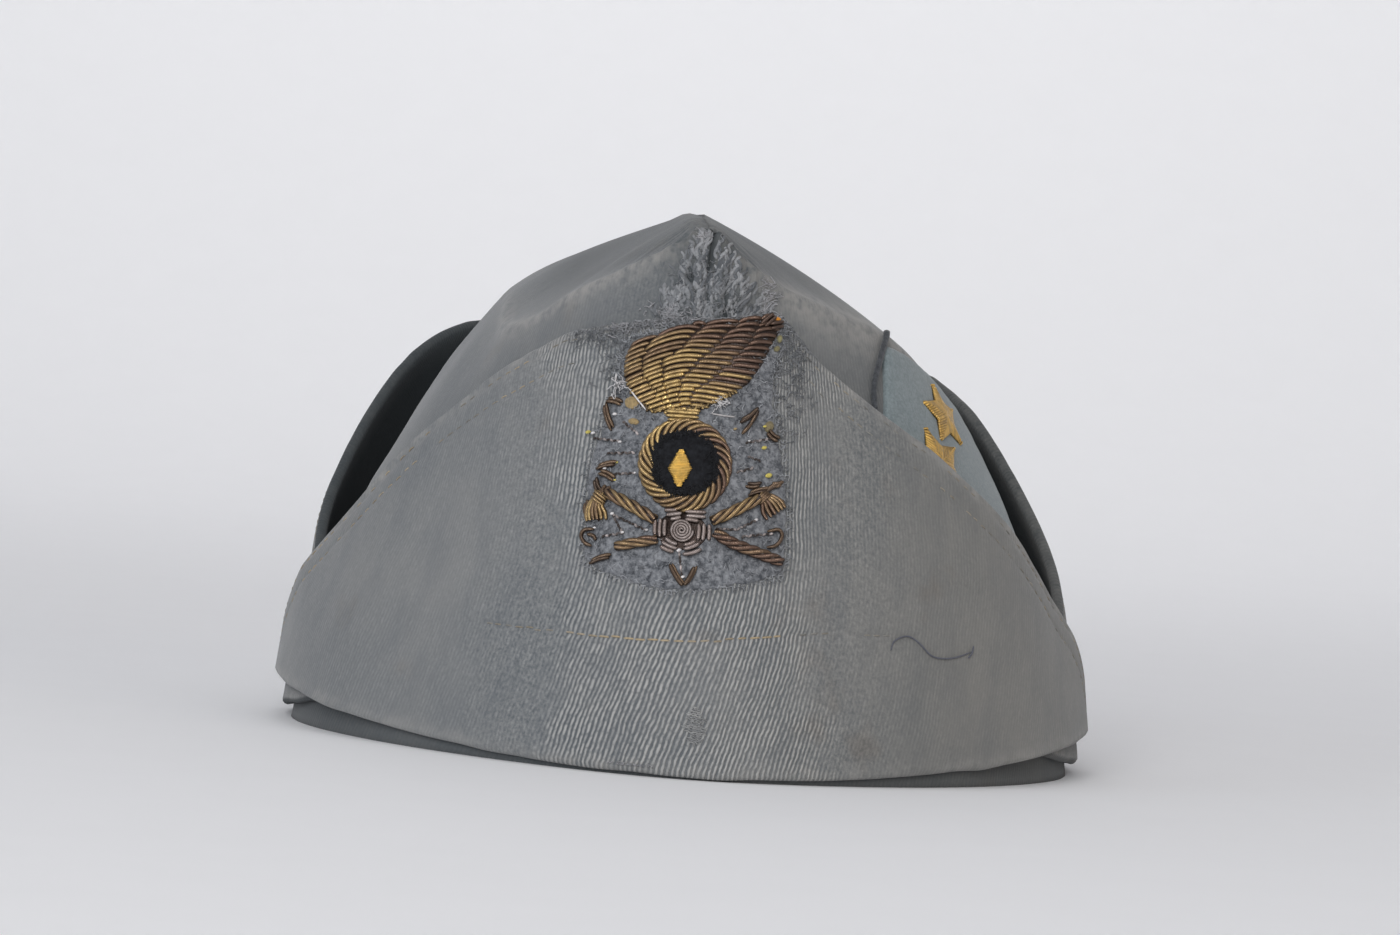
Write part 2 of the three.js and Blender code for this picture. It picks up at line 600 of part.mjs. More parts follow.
add('badge_disc', padGeometry(flapFace, disc, onBacking, DISC_THICK), COLOURS.badge_disc, ...CLOTH);
add('badge_mark', padGeometry(flapFace, mark, onDisc, MARK_THICK), COLOURS.badge_mark, ...BULLION);
add('badge_knot', padGeometry(flapFace, knot, onBacking, KNOT_THICK, KNOT_DOME),
  COLOURS.badge_knot, ...BULLION);
for (const { name, radius, path } of BADGE_ROPES) {
  add(name, ropeGeometry(flapFace, path, onBacking, radius, false), COLOURS.badge_rope, ...BULLION);
}

const onPatch = LAYER_GAP + PATCH_THICK + LAYER_GAP;
add('rank_patch', panelGeometry(patchFace, PATCH_ROWS, LAYER_GAP, PATCH_THICK),
  COLOURS.rank_patch, ...CLOTH);
add('rank_piping', ropeGeometry(patchFace, PIPING_PATH, LAYER_GAP, PIPING_RADIUS, false),
  COLOURS.rank_piping, ...CLOTH);
for (const { name, at, height, reach, turn } of STARS) {
  const star = { outline: starOutline(reach, turn), heart: [0, 0], rings: SMALL_RINGS };
  add(name, padGeometry(cornerOfPatch(at, height), star, onPatch, STAR_THICK, STAR_DOME),
    COLOURS.rank_star, ...BULLION);
}

// The cap stands centred over the origin
const extent = new THREE.Box3().setFromObject(cap);
const middle = extent.getCenter(new THREE.Vector3());
for (const { geometry } of cap.children) geometry.translate(-middle.x, -middle.y, -extent.min.z);

export default cap;
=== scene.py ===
import math

import bpy
import numpy as np
from mathutils import Matrix, Vector


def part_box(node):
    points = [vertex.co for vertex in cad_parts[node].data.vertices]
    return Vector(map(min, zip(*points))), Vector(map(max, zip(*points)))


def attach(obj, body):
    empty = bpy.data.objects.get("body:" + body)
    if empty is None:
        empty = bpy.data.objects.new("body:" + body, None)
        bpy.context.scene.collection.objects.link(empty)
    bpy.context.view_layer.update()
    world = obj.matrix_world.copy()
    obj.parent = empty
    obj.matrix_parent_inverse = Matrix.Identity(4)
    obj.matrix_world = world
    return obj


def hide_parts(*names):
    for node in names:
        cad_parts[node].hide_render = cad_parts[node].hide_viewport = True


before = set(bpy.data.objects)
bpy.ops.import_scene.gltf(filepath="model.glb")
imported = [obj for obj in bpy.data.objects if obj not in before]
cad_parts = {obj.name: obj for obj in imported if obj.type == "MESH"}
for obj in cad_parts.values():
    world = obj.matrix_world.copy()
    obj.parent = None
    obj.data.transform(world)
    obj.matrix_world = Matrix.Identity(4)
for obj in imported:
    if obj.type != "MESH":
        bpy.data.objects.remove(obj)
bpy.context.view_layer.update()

MM = 0.001
TURN = 2 * math.pi
LEFT, RIGHT = SIDES = (-1, 1)
CHANCE = np.random.default_rng(11)
between, near = CHANCE.uniform, CHANCE.normal


def table(columns, rows):
    """Rows of numbers as one array for each named column."""
    return {name: np.array(values, float) for name, values in zip(columns.split(), zip(*rows))}


# The cap's cloth in millimetres, front towards -Y, rim on z = 0: at runs prow to stern, as a share
CROWN_WALL, BAND_WALL, LAYER_GAP = 1.8, 2.4, 0.35
LIFT_POWER = 1.7
OUTWARD_FLATTEN = 0.3
PROW_SOFTEN = 0.03
FLAP_END, CURTAIN_START, FLAP_CLIMB = 16 / 28, 10 / 28, 3 / 28
SHOULDER_RISE, SHOULDER_REACH = 0.68, 0.33
FOOT_UPRIGHT, FOOT_REACH = 0.62, 0.4
RIDGE_FLATTEN = 0.75
STERN_Y = 104
CROWN_RUN_HEIGHT, BAND_RUN_HEIGHT = 58, 12
HALVINGS = 26

RIBS = table("at rim_x rim_y ridge_x ridge_y ridge_z crease", [
    (0.000, 0, -101, -1.5, -75, 109, 1),
    (0.143, 31, -90, -3, -60, 112, 0.85),
    (0.286, 61, -63, -4.5, -38, 114, 0.7),
    (0.429, 80.5, -26, -4.8, -14, 114.5, 0.35),
    (0.571, 83.5, 14, -4.5, 12, 114, 0.2),
    (0.714, 71, 58, -3.5, 42, 112, 0.2),
    (0.857, 42, 91, -2, 68, 108, 0.4),
    (1.000, 0, 104, -1, 84, 102, 0.8),
])
SHOULDERS = table("at left_x left_y left_z right_x right_y right_z", [
    (0.000, -1.5, -75, 109, -1.5, -75, 109),
    (0.143, -27, -59, 95, 15, -68, 97.5),
    (0.286, -42, -40, 86.5, 37, -47, 90.5),
    (0.429, -44, -16, 94, 49, -16, 81.5),
    (0.571, -45, 12, 96, 52, 12, 79.5),
    (0.714, -42, 46, 96, 49, 46, 83),
    (0.857, -29, 73, 95, 31, 73, 94),
    (1.000, -1, 84, 102, -1, 84, 102),
])
FLAP_EDGES = table("at hem left_top right_top left_lift right_lift", [
    (0.000, 0.4, 90.5, 90.5, 1.2, 1.2),
    (0.075, 0.6, 88.5, 92.4, 1.3, 1.3),
    (0.105, 0.8, 87.2, 92.2, 1.4, 1.4),
    (0.143, 1.2, 84.8, 85.4, 1.5, 1.6),
    (0.286, 3.8, 67.8, 62.5, 2.4, 4),
    (0.429, 7.8, 39, 35.5, 0.6, 0.6),
    (0.571, 9, 14, 14, 0.4, 0.4),
])
CURTAIN_EDGES = table("at hem left_top right_top left_lift right_lift", [
    (0.357, 6, 24, 23, 0, 0),
    (0.429, 4, 28, 26, 0.8, 0.6),
    (0.571, 1, 52, 48, 7, 5),
    (0.714, 0.4, 82, 77, 11.5, 5),
    (0.857, 0.4, 91, 88, 8, 5),
    (1.000, 0.4, 94, 94, 6, 6),
])
LEVEL_COLUMNS = set("rim_y left_y right_y crease hem left_top right_top left_lift right_lift".split())

left_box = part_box("crown_left_panel")
right_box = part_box("crown_right_panel")
SHIFT = np.array([(left_box[0].x + right_box[1].x) / 2 / MM, right_box[1].y / MM - STERN_Y, 0])


def smooth(low, high, value):
    share = np.clip((value - low) / (high - low), 0, 1)
    return share * share * (3 - 2 * share)


def bump(distance, width):
    """A soft ridge, 1 on its line and about nothing two widths away."""
    return np.exp(-(distance / width) ** 2)


def unit(ways):
    return ways / np.maximum(np.linalg.norm(ways, axis=-1, keepdims=True), 1e-12)


LATTICE_SIZE = 64
LATTICE = CHANCE.random((LATTICE_SIZE, LATTICE_SIZE))


def noise(u, v):
    """Smooth hills and hollows from -1 to 1, about one to a unit."""
    u, v = np.broadcast_arrays(u, v)
    column, row = np.floor(u).astype(int), np.floor(v).astype(int)
    across, up = smooth(0, 1, u - column), smooth(0, 1, v - row)

    def corner(i, j):
        return LATTICE[(column + i) % LATTICE_SIZE, (row + j) % LATTICE_SIZE]

    low = corner(0, 0) * (1 - across) + corner(1, 0) * across
    high = corner(0, 1) * (1 - across) + corner(1, 1) * across
    return 2 * (low * (1 - up) + high * up) - 1


def ripples(rows, u, v):
    """Noise added up from rows of depth, length along u, length along v, and the starts along both."""
    return sum(depth * noise(u / long + start, v / tall + low) for depth, long, tall, start, low in rows)


def track(rows, column, at):
    """A column of a table at any place between its rows, as a smooth curve through them."""
    place, value = rows["at"], rows[column]
    slope = np.empty(len(place))
    slope[1:-1] = (value[2:] - value[:-2]) / (place[2:] - place[:-2])
    slope[0] = (value[1] - value[0]) / (place[1] - place[0])
    slope[-1] = (value[-1] - value[-2]) / (place[-1] - place[-2])
    if column in LEVEL_COLUMNS:
        slope[0] = slope[-1] = 0
    row = np.clip(np.searchsorted(place, at) - 1, 0, len(place) - 2)
    span = place[row + 1] - place[row]
    f = np.clip((at - place[row]) / span, 0, 1)
    rising = f * f * (3 - 2 * f)
    bend = slope[row] * f * (1 - f) ** 2 + slope[row + 1] * f * f * (f - 1)
    return value[row] * (1 - rising) + value[row + 1] * rising + bend * span


def track_side(rows, side, column, at):
    return track(rows, f"{'right' if side > 0 else 'left'}_{column}", at)


def cubic(a, b, c, d, f):
    f = f[..., None]
    return (1 - f) ** 3 * a + 3 * (1 - f) ** 2 * f * b + 3 * (1 - f) * f * f * c + f ** 3 * d


def rib(side, at, rise):
    """Points on the outside of the crown: rise runs rim to ridge."""
    at, rise = np.broadcast_arrays(np.asarray(at, float), np.asarray(rise, float))
    rim = np.stack([side * track(RIBS, "rim_x", at), track(RIBS, "rim_y", at), 0 * at], -1)
    shoulder = np.stack([track_side(SHOULDERS, side, axis, at) for axis in "xyz"], -1)
    ridge = np.stack([track(RIBS, f"ridge_{axis}", at) for axis in "xyz"], -1)
    crease = track(RIBS, "crease", at)[..., None]
    wall, roof = shoulder - rim, ridge - shoulder
    wall_length = np.linalg.norm(wall, axis=-1, keepdims=True)
    roof_length = np.linalg.norm(roof, axis=-1, keepdims=True)
    wall = unit(wall)
    roof = np.where(roof_length > MM, unit(roof), wall)
    bisector = unit(wall + roof)
    foot = wall * (1 - FOOT_UPRIGHT) + np.array([0, 0, FOOT_UPRIGHT])
    arriving = wall * crease + bisector * (1 - crease)
    leaving = roof * crease + bisector * (1 - crease)
    crest = roof * np.array([1, 1, RIDGE_FLATTEN])
    lower = cubic(rim, rim + foot * wall_length * FOOT_REACH,
                  shoulder - arriving * wall_length * SHOULDER_REACH, shoulder,
                  np.clip(rise / SHOULDER_RISE, 0, 1))
    upper = cubic(shoulder, shoulder + leaving * roof_length * SHOULDER_REACH,
                  ridge - crest * roof_length * SHOULDER_REACH, ridge,
                  np.clip((rise - SHOULDER_RISE) / (1 - SHOULDER_RISE), 0, 1))
    return np.where((rise <= SHOULDER_RISE)[..., None], lower, upper)


def astride(side, at, rise):
    """A rib point whose place may run past the prow or the stern onto the other side."""
    inside = np.where(at < 0, -at, np.where(at > 1, 2 - at, at))
    beyond = (at < 0) | (at > 1)
    return np.where(beyond[..., None], rib(-side, inside, rise), rib(side, inside, rise))


def wall_at(side, at, height):
    """The crown's wall at a height: the points, the ways out of the cloth and the rises."""
    at, height = np.broadcast_arrays(np.asarray(at, float), np.asarray(height, float))
    low, high = np.zeros(at.shape), np.ones(at.shape)
    for _ in range(HALVINGS):
        middle = (low + high) / 2
        below = rib(side, at, middle)[..., 2] < height
        low, high = np.where(below, middle, low), np.where(below, high, middle)
    rise = (low + high) / 2
    up = rib(side, at, np.minimum(rise + MM, 1)) - rib(side, at, np.maximum(rise - MM, 0))
    along = astride(side, at + PROW_SOFTEN, rise) - astride(side, at - PROW_SOFTEN, rise)
    return rib(side, at, rise), unit(np.cross(along, up) * side), rise


def sideways(outward):
    return unit(outward * np.array([1, 1, OUTWARD_FLATTEN]))


def leaning(edges, side, at, height):
    """How far a band stands out at a height, by its own lean alone."""
    hem, top = track(edges, "hem", at), track_side(edges, side, "top", at)
    share = np.clip((height - hem) / (top - hem), 0, 1)
    return track_side(edges, side, "lift", at) * share ** LIFT_POWER


def curtain_lift(side, at, height):
    return LAYER_GAP + leaning(CURTAIN_EDGES, side, at, height)


def flap_lift(side, at, height):
    climb = smooth(CURTAIN_START - FLAP_CLIMB, CURTAIN_START, at)
    beneath = climb * (curtain_lift(side, np.maximum(at, CURTAIN_START), height) + BAND_WALL)
    return LAYER_GAP + beneath + leaning(FLAP_EDGES, side, at, height)


def run_of(points, axis):
    """Length along a grid of points from its first row or column."""
    steps = np.linalg.norm(np.diff(points, axis=axis), axis=-1)
    start = np.zeros_like(np.take(steps, [0], axis))
    return np.concatenate([start, np.cumsum(steps, axis)], axis)


RUN_PLACES = np.linspace(0, 1, 241)
CROWN_RUN, BAND_RUN = ({side: run_of(wall_at(side, RUN_PLACES, height)[0], 0) for side in SIDES}
                       for height in (CROWN_RUN_HEIGHT, BAND_RUN_HEIGHT))


def run_along(runs, side, at):
    """Signed length from the prow: the left side's are below zero."""
    return side * np.interp(at, RUN_PLACES, runs[side])


# Meshes


class Heap:
    """Points, faces and point values gathered for one piece."""

    def __init__(self):
        self.points, self.faces, self.values, self.count = [], [], {}, 0

    def add(self, points, faces, **values):
        """More of the piece, with each value given for every point or once for all of them."""
        points = np.asarray(points, float).reshape(-1, 3)
        self.points.append(points)
        self.faces.extend([int(corner) + self.count for corner in face] for face in faces)
        self.count += len(points)
        for name, value in values.items():
            value = np.asarray(value, float)
            if not value.ndim or len(value) != len(points):
                value = np.broadcast_to(value, (len(points), *value.shape))
            self.values.setdefault(name, []).append(value)

    def piece(self, name, material, slot, *nodes):
        """The heap as a mesh on the cap's one body, in place of the nodes named. Its values are weave as
        UV, tint as a colour and the rest as single numbers."""
        mesh = bpy.data.meshes.new(name)
        mesh.from_pydata(((np.concatenate(self.points) + SHIFT) * MM).tolist(), [], self.faces)
        mesh.polygons.foreach_set("use_smooth", np.ones(len(mesh.polygons), bool))
        for key, parts in self.values.items():
            value = np.concatenate(parts)
            if key == "weave":
                corners = np.empty(len(mesh.loops), int)
                mesh.loops.foreach_get("vertex_index", corners)
                mesh.uv_layers.new(name=key).data.foreach_set("uv", value[corners].ravel())
            elif key == "tint":
                colour = np.concatenate([value, np.ones((len(value), 1))], 1)
                mesh.attributes.new(key, "FLOAT_COLOR", "POINT").data.foreach_set("color", colour.ravel())
            else:
                mesh.attributes.new(key, "FLOAT", "POINT").data.foreach_set("value", value)
        mesh.materials.append(material)
        mesh.update()
        made = bpy.data.objects.new(name, mesh)
        bpy.context.scene.collection.objects.link(made)
        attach(made, "root")
        if nodes:
            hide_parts(*nodes)


def grid_faces(columns, rows, wrap=False):
    """Quads of a grid of points, numbered column by column, whose columns may close into rings."""
    column = np.arange(columns - 1)[:, None]
    row = np.arange(rows if wrap else rows - 1)[None, :]
    after = (row + 1) % rows
    corners = [column * rows + row, (column + 1) * rows + row,
               (column + 1) * rows + after, column * rows + after]
    return np.stack(np.broadcast_arrays(*corners), -1).reshape(-1, 4)


def closed_faces(rings, sides):
    """Faces of rings of points joined into a tube and fanned shut: the middles of the first and the last
    ring come after all the rings."""
    faces = grid_faces(rings, sides, wrap=True).tolist()
    first, last, end = rings * sides, rings * sides + 1, (rings - 1) * sides
    for step in range(sides):
        after = (step + 1) % sides
        faces.append([first, step, after])
        faces.append([last, end + after, end + step])
    return faces


def tube(path, radius, facing, sides=8):
    """A round strand along a path: its points, its faces and its weave, as length along and turn round."""
    path = np.asarray(path, float)
    radius = np.broadcast_to(np.asarray(radius, float), len(path))
    facing = np.broadcast_to(np.asarray(facing, float), path.shape)
    ahead = unit(np.gradient(path, axis=0))
    over = unit(facing - ahead * (facing * ahead).sum(1, keepdims=True))
    across = np.cross(ahead, over)
    angle = np.arange(sides) * TURN / sides
    ring = across[:, None] * np.cos(angle)[:, None] + over[:, None] * np.sin(angle)[:, None]
    points = path[:, None] + ring * radius[:, None, None]
    points = np.concatenate([points.reshape(-1, 3), path[:1], path[-1:]])
    length = run_of(path, 0)
    run = np.concatenate([np.repeat(length, sides), length[:1], length[-1:]])
    turn = np.concatenate([np.tile(angle / TURN, len(path)), [0, 0]])
    return points, closed_faces(len(path), sides), np.stack([run, turn], 1)


def rounded(count, least=0.45):
    """Radius shares along a strand whose ends are drawn in."""
    share = np.linspace(0, 1, count)
    return least + (1 - least) * np.minimum(1, np.minimum(share, 1 - share) * 6) ** 0.5


def welded(points, faces):
    """The first index of each place among points, and the faces over those, without their collapsed
    corners."""
    _, first, back = np.unique(np.round(points / MM).astype(np.int64), axis=0, return_index=True,
                               return_inverse=True)
    kept = [list(dict.fromkeys(face)) for face in back.reshape(-1)[faces].tolist()]
    return first, [face for face in kept if len(face) > 2]


def point_normals(points, faces):
    corners = np.array([face if len(face) == 4 else [*face, face[2]] for face in faces])
    a, b, c, d = (points[corners[:, i]] for i in range(4))
    facing = np.cross(c - a, d - b)
    collapsed = corners[:, 2] == corners[:, 3]
    facing[collapsed] = np.cross(b - a, c - a)[collapsed]
    normals = np.zeros_like(points)
    for i in range(4):
        np.add.at(normals, corners[:, i], facing)
    return unit(normals)


def shell(points, normals, faces, wall):
    """Both faces of a cloth and the strip round its open edges."""
    count = len(points)
    inside = [[corner + count for corner in reversed(face)] for face in faces]
    edges = {(face[i - 1], face[i]) for face in faces for i in range(len(face))}
    strips = [[b, a, a + count, b + count] for a, b in sorted(edges) if (b, a) not in edges]
    return np.concatenate([points, points - normals * wall]), [*faces, *inside, *strips]


# Materials


class Signal:
    """An output of a node. Sums on it are nodes too."""

    def __init__(self, shade, socket):
        self.shade, self.socket = shade, socket

    def __add__(self, other):
        return self.shade.math("ADD", self, other)

    def __sub__(self, other):
        return self.shade.math("SUBTRACT", self, other)

    def __mul__(self, other):
        return self.shade.math("MULTIPLY", self, other)

    def __truediv__(self, other):
        return self.shade.math("DIVIDE", self, other)


class Shader:
    """A material's node tree, built one node at a time."""

    def __init__(self, name, **sockets):
        self.material = bpy.data.materials.new(name)
        self.material.use_nodes = True
        self.tree = self.material.node_tree
        self.surface = self.tree.nodes["Principled BSDF"].inputs
        for socket, value in sockets.items():
            self.surface[socket.replace("_", " ")].default_value = value
        self.place = self.node("ShaderNodeTexCoord", {}, "Object")

    def feed(self, socket, value):
        if isinstance(value, Signal):
            self.tree.links.new(value.socket, socket)
        elif hasattr(socket.default_value, "__len__") and len(socket.default_value) == 4:
            socket.default_value = (*value, 1)
        else:
            socket.default_value = value

    def node(self, kind, inputs, output=0, **settings):
        made = self.tree.nodes.new(kind)
        for key, value in settings.items():
            setattr(made, key, value)
        for key, value in inputs.items():
            self.feed(made.inputs[key], value)
        return Signal(self, made.outputs[output])

    def math(self, operation, *values):
        return self.node("ShaderNodeMath", dict(enumerate(values)), operation=operation)

    def hump(self, value):
        """An arch from 0 up to 1 and back over each whole step of a value."""
        return self.math("SINE", self.math("FRACT", value) * math.pi)

    def axes(self, vector):
        split = self.tree.nodes.new("ShaderNodeSeparateXYZ")
        self.feed(split.inputs[0], vector)
        return [Signal(self, output) for output in split.outputs]

    def weave(self):
        """How far along and up the cloth, or along and round the strand."""
        return self.axes(self.node("ShaderNodeUVMap", {}, uv_map="weave"))[:2]

    def mix(self, share, first, second, blend="MIX"):
        inputs = {0: share, 6: first, 7: second}
        return self.node("ShaderNodeMix", inputs, 2, data_type="RGBA", blend_type=blend)

    def noise(self, scale, detail=2.0, roughness=0.5, place=None):
        inputs = {"Vector": place or self.place, "Scale": scale, "Detail": detail, "Roughness": roughness}
        return self.node("ShaderNodeTexNoise", inputs)

    def ramp(self, value, low, high):
        inputs = {0: value, 1: low, 2: high}
        return self.node("ShaderNodeMapRange", inputs, interpolation_type="SMOOTHSTEP")

    def value(self, name, output="Fac"):
        return self.node("ShaderNodeAttribute", {}, output, attribute_name=name)

    def finish(self, colour, height, depth, strength=1.0):
        """Colour and bump onto the surface: depth is the height of a full bump in millimetres."""
        self.feed(self.surface["Base Color"], colour)
        inputs = {"Strength": strength, "Distance": depth * MM, "Height": height}
        self.feed(self.surface["Normal"], self.node("ShaderNodeBump", inputs))
        return self.material


WALE_PITCH, WALE_DRIFT, WALE_JITTER, DASH_LENGTH = 0.95, 1.6, 0.7, 2.1
PATCHY_SHARE, SMEAR_SHARE, STAIN_SHARE, TARNISH_SHARE, TWIST_SHARE = 0.25, 0.28, 0.2, 0.4, 0.3
# the cloth's sheen, and how much of it painted shade takes away
TWILL_SHEEN, PAINTED_SHADE_SHEEN = 0.18, -0.14
FELTED_LEVEL, FELTED_SOFT = 0.28, 0.6
SMEAR_STRETCH = 0.35
# where the painted shade of the right side begins and where it is full, along x in metres
RIGHT_SHADE_FROM, RIGHT_SHADE_TO = 0.005, 0.06
GROOVE = (0.075, 0.085, 0.094)
THREAD, SOFT_THREAD = (0.33, 0.33, 0.324), (0.25, 0.252, 0.25)
# the colour of rubbed wear, then the near-black blue that painted shade darkens the cloth towards
WORN, PAINTED_SHADE_COLOUR = (0.27, 0.262, 0.248), (0.029, 0.036, 0.04)
SMEARED, STAINED = (0.1, 0.11, 0.122), (0.12, 0.085, 0.055)
# the colour that painted shade on the right side multiplies the cloth by, darker and warmer
RIGHT_SIDE_SHADE = (0.95, 0.915, 0.86)
# the painted shade on the sides and underside of wire strands, then the colour of tarnish
WIRE_SIDE_SHADE, WIRE_TARNISH = (0.035, 0.022, 0.017), (0.05, 0.03, 0.022)
THREAD_SHADOW = (0.02, 0.02, 0.02)


def twill_material(name, thread):
    """Wool twill: steep wales of thin pale floats over a darker ground, broken, felted and rubbed, and
    darkened by painted shade towards its right side and where the mesh asks for it.
    """
    shade = Shader(name, Roughness=0.92, Specular_IOR_Level=0.15, Sheen_Roughness=0.55)
    along, up = shade.weave()
    wale = (along + shade.noise(70) * WALE_DRIFT + shade.noise(430) * WALE_JITTER) / WALE_PITCH
    row = shade.math("FLOOR", wale)
    start = shade.node("ShaderNodeTexWhiteNoise", {"W": row}, noise_dimensions="1D")
    dash = up / DASH_LENGTH + start
    cell = shade.node("ShaderNodeCombineXYZ", {0: row, 1: shade.math("FLOOR", dash)})
    chance = shade.node("ShaderNodeTexWhiteNoise", {"Vector": cell}, noise_dimensions="2D")
    line = shade.ramp(shade.hump(wale), 0.35, 1.0) * (shade.hump(dash) * 0.4 + 0.6)
    floats = line * (chance * 0.8 + 0.6)

    soft = shade.value("soft")
    matted, smoothed = shade.ramp(soft, 0, FELTED_SOFT), shade.ramp(soft, FELTED_SOFT, 1)
    felted = shade.ramp(shade.noise(45, 3, 0.6), 0.42, 0.72)
    woven = (felted * -0.4 + 1) * (matted * -0.88 + 1)
    tuft = (shade.noise(1000, 3, 0.6) - 0.5) * (matted * 0.6)
    pile = (shade.noise(1500, 4, 0.7) - 0.5 + tuft) * (smoothed * -0.7 + 1)
    raised = (floats - FELTED_LEVEL) * woven
    lit = pile * 1.1 + (raised + FELTED_LEVEL)

    colour = shade.mix(shade.ramp(lit, -0.15, 1.15), GROOVE, thread)
    patchy = shade.ramp(shade.noise(22, 4, 0.6), 0.35, 0.7)
    colour = shade.mix(patchy * PATCHY_SHARE, colour, WORN)
    drawn_out = shade.node("ShaderNodeCombineXYZ", {0: along, 1: up * SMEAR_STRETCH})
    smear = shade.ramp(shade.noise(0.13, 4, 0.6, drawn_out), 0.42, 0.68)
    colour = shade.mix(smear * SMEAR_SHARE, colour, SMEARED)
    stain = shade.ramp(shade.noise(60, 3, 0.55), 0.6, 0.78)
    colour = shade.mix(stain * STAIN_SHARE, colour, STAINED)
    # Painted shade: the cloth darkens and warms towards its right side, where less light falls
    right_shade = shade.ramp(shade.axes(shade.place)[0], RIGHT_SHADE_FROM, RIGHT_SHADE_TO)
    colour = shade.mix(right_shade, colour, RIGHT_SIDE_SHADE, "MULTIPLY")
    rubbed = shade.value("wear") * shade.ramp(shade.noise(400, 3), 0.25, 0.65)
    colour = shade.mix(rubbed, colour, WORN)
    # Painted shade: where the mesh asks for it, the cloth darkens towards near-black blue and loses most of
    # its sheen, standing in for the shade of the roof, creases, foot and pockets
    lining = shade.value("lining")
    colour = shade.mix(lining, colour, PAINTED_SHADE_COLOUR)
    shade.feed(shade.surface["Sheen Weight"], lining * PAINTED_SHADE_SHEEN + TWILL_SHEEN)
    return shade.finish(colour, pile * 0.5 + raised, 0.28, 0.9)


def felt_material(name, dark, pale, fibre_scale=900, depth=0.2, sheen=0.2):
    shade = Shader(name, Roughness=0.95, Specular_IOR_Level=0.15, Sheen_Weight=sheen, Sheen_Roughness=0.6)
    fibre, tuft = shade.noise(fibre_scale, 5, 0.75), shade.noise(380, 3, 0.6)
    share = (fibre - 0.5) * 2.1 + (tuft * 0.4 + 0.3)
    colour = shade.mix(shade.ramp(share, 0.1, 0.95), dark, pale)
    return shade.finish(colour, fibre * 0.6 + tuft, depth)


def wire_material(name, roughness, metallic, coil_pitch):
    """Fine wire wound round a core: the tint of each strand, darkened by painted shade round its sides and
    underside, dulled in patches, with its coils as bump.
    """
    shade = Shader(name, Roughness=roughness, Metallic=metallic, Specular_IOR_Level=0.7)
    along, turn = shade.weave()
    coil = shade.math("SINE", (along / coil_pitch + turn) * TURN)
    # Painted shade: each strand keeps its tint on the crest facing out of the cloth and darkens round its
    # sides to near black beneath
    crest = shade.math("SINE", turn * TURN)
    colour = shade.mix(shade.ramp(crest, 0, 0.95), WIRE_SIDE_SHADE, shade.value("tint", "Color"))
    tarnish = shade.ramp(shade.noise(620, 3, 0.65), 0.35, 0.7)
    colour = shade.mix(tarnish * TARNISH_SHARE, colour, WIRE_TARNISH)
    return shade.finish(colour, coil * 0.5 + shade.noise(2200), 0.07, 0.8)


def thread_material(name):
    shade = Shader(name, Roughness=0.85, Specular_IOR_Level=0.2, Sheen_Weight=0.12)
    twist = shade.noise(1800, 3, 0.6)
    shadow = shade.ramp(twist, 0.4, 0.7) * TWIST_SHARE
    colour = shade.mix(shadow, shade.value("tint", "Color"), THREAD_SHADOW)
    return shade.finish(colour, twist, 0.1)


crown_cloth = twill_material("crown_cloth", SOFT_THREAD)
flap_cloth = twill_material("flap_cloth", THREAD)
curtain_cloth = twill_material("curtain_cloth", SOFT_THREAD)
backing_felt = felt_material("backing_felt", (0.04, 0.044, 0.052), (0.232, 0.24, 0.256))
disc_felt = felt_material("disc_felt", (0.003, 0.003, 0.004), (0.014, 0.015, 0.018), sheen=0.05)
patch_felt = felt_material("patch_felt", (0.12, 0.15, 0.16), (0.2, 0.235, 0.245), 1500, 0.12)
piping_felt = felt_material("piping_felt", (0.018, 0.021, 0.025), (0.065, 0.07, 0.078), 1500, 0.12)
bullion_wire = wire_material("bullion_wire", 0.3, 0.7, 0.3)
gilt_wire = wire_material("gilt_wire", 0.32, 0.6, 0.24)
sewing_thread = thread_material("sewing_thread")

# Crown

CROWN_COLUMNS, CROWN_ROWS = 170, 92
CROWN_SIZE = 105
PROW_CROWDING = 0.65
SEAM_DEPTH, SEAM_HALF = 0.9, 0.9
SEAM_LIP, LIP_OFF, LIP_HALF = 0.35, 2.8, 1.6
SEAM_WEAR, SEAM_WEAR_OFF, SEAM_WEAR_LOW = 0.5, 2, 85
CREST_LIFT, CREST_HALF = 0.3, 1.6
CREASE_WEAR_HALF = {LEFT: 2.2, RIGHT: 5}
PATCH_FROM, PATCH_TO = 0.2, 0.53
PEAK_LOW, PEAK_HIGH, PEAK_HALF = 84, 91, 13
PEAK_BACK_Y, PEAK_FRONT_Y, CREASE_BACK_Y, CREASE_FRONT_Y = -58, -68, -52, -60
HIDDEN_BELOW, SHOWN_ABOVE = -9, -3
SLIT_X, SLIT_LOW = -0.7, 101.5
ROOF_SHADE, PEAK_SHADE, CREASE_SHADE, DARKEST = 0.32, 0.38, 0.8, 0.85
FOOT_SHADE, FOOT_SHADE_TOP = 0.5, 12
CORE_SHADE, CORE_X, CORE_HALF = 0.36, -1, 7
CROWN_DENTS = [(0.7, 31, 24, 0, 0), (0.3, 13, 10, 9, 0)]
PEAK_PUCKERS = [(0.55, 1.9, 6, 0, 0), (0.3, 0.95, 3.4, 5, 0)]
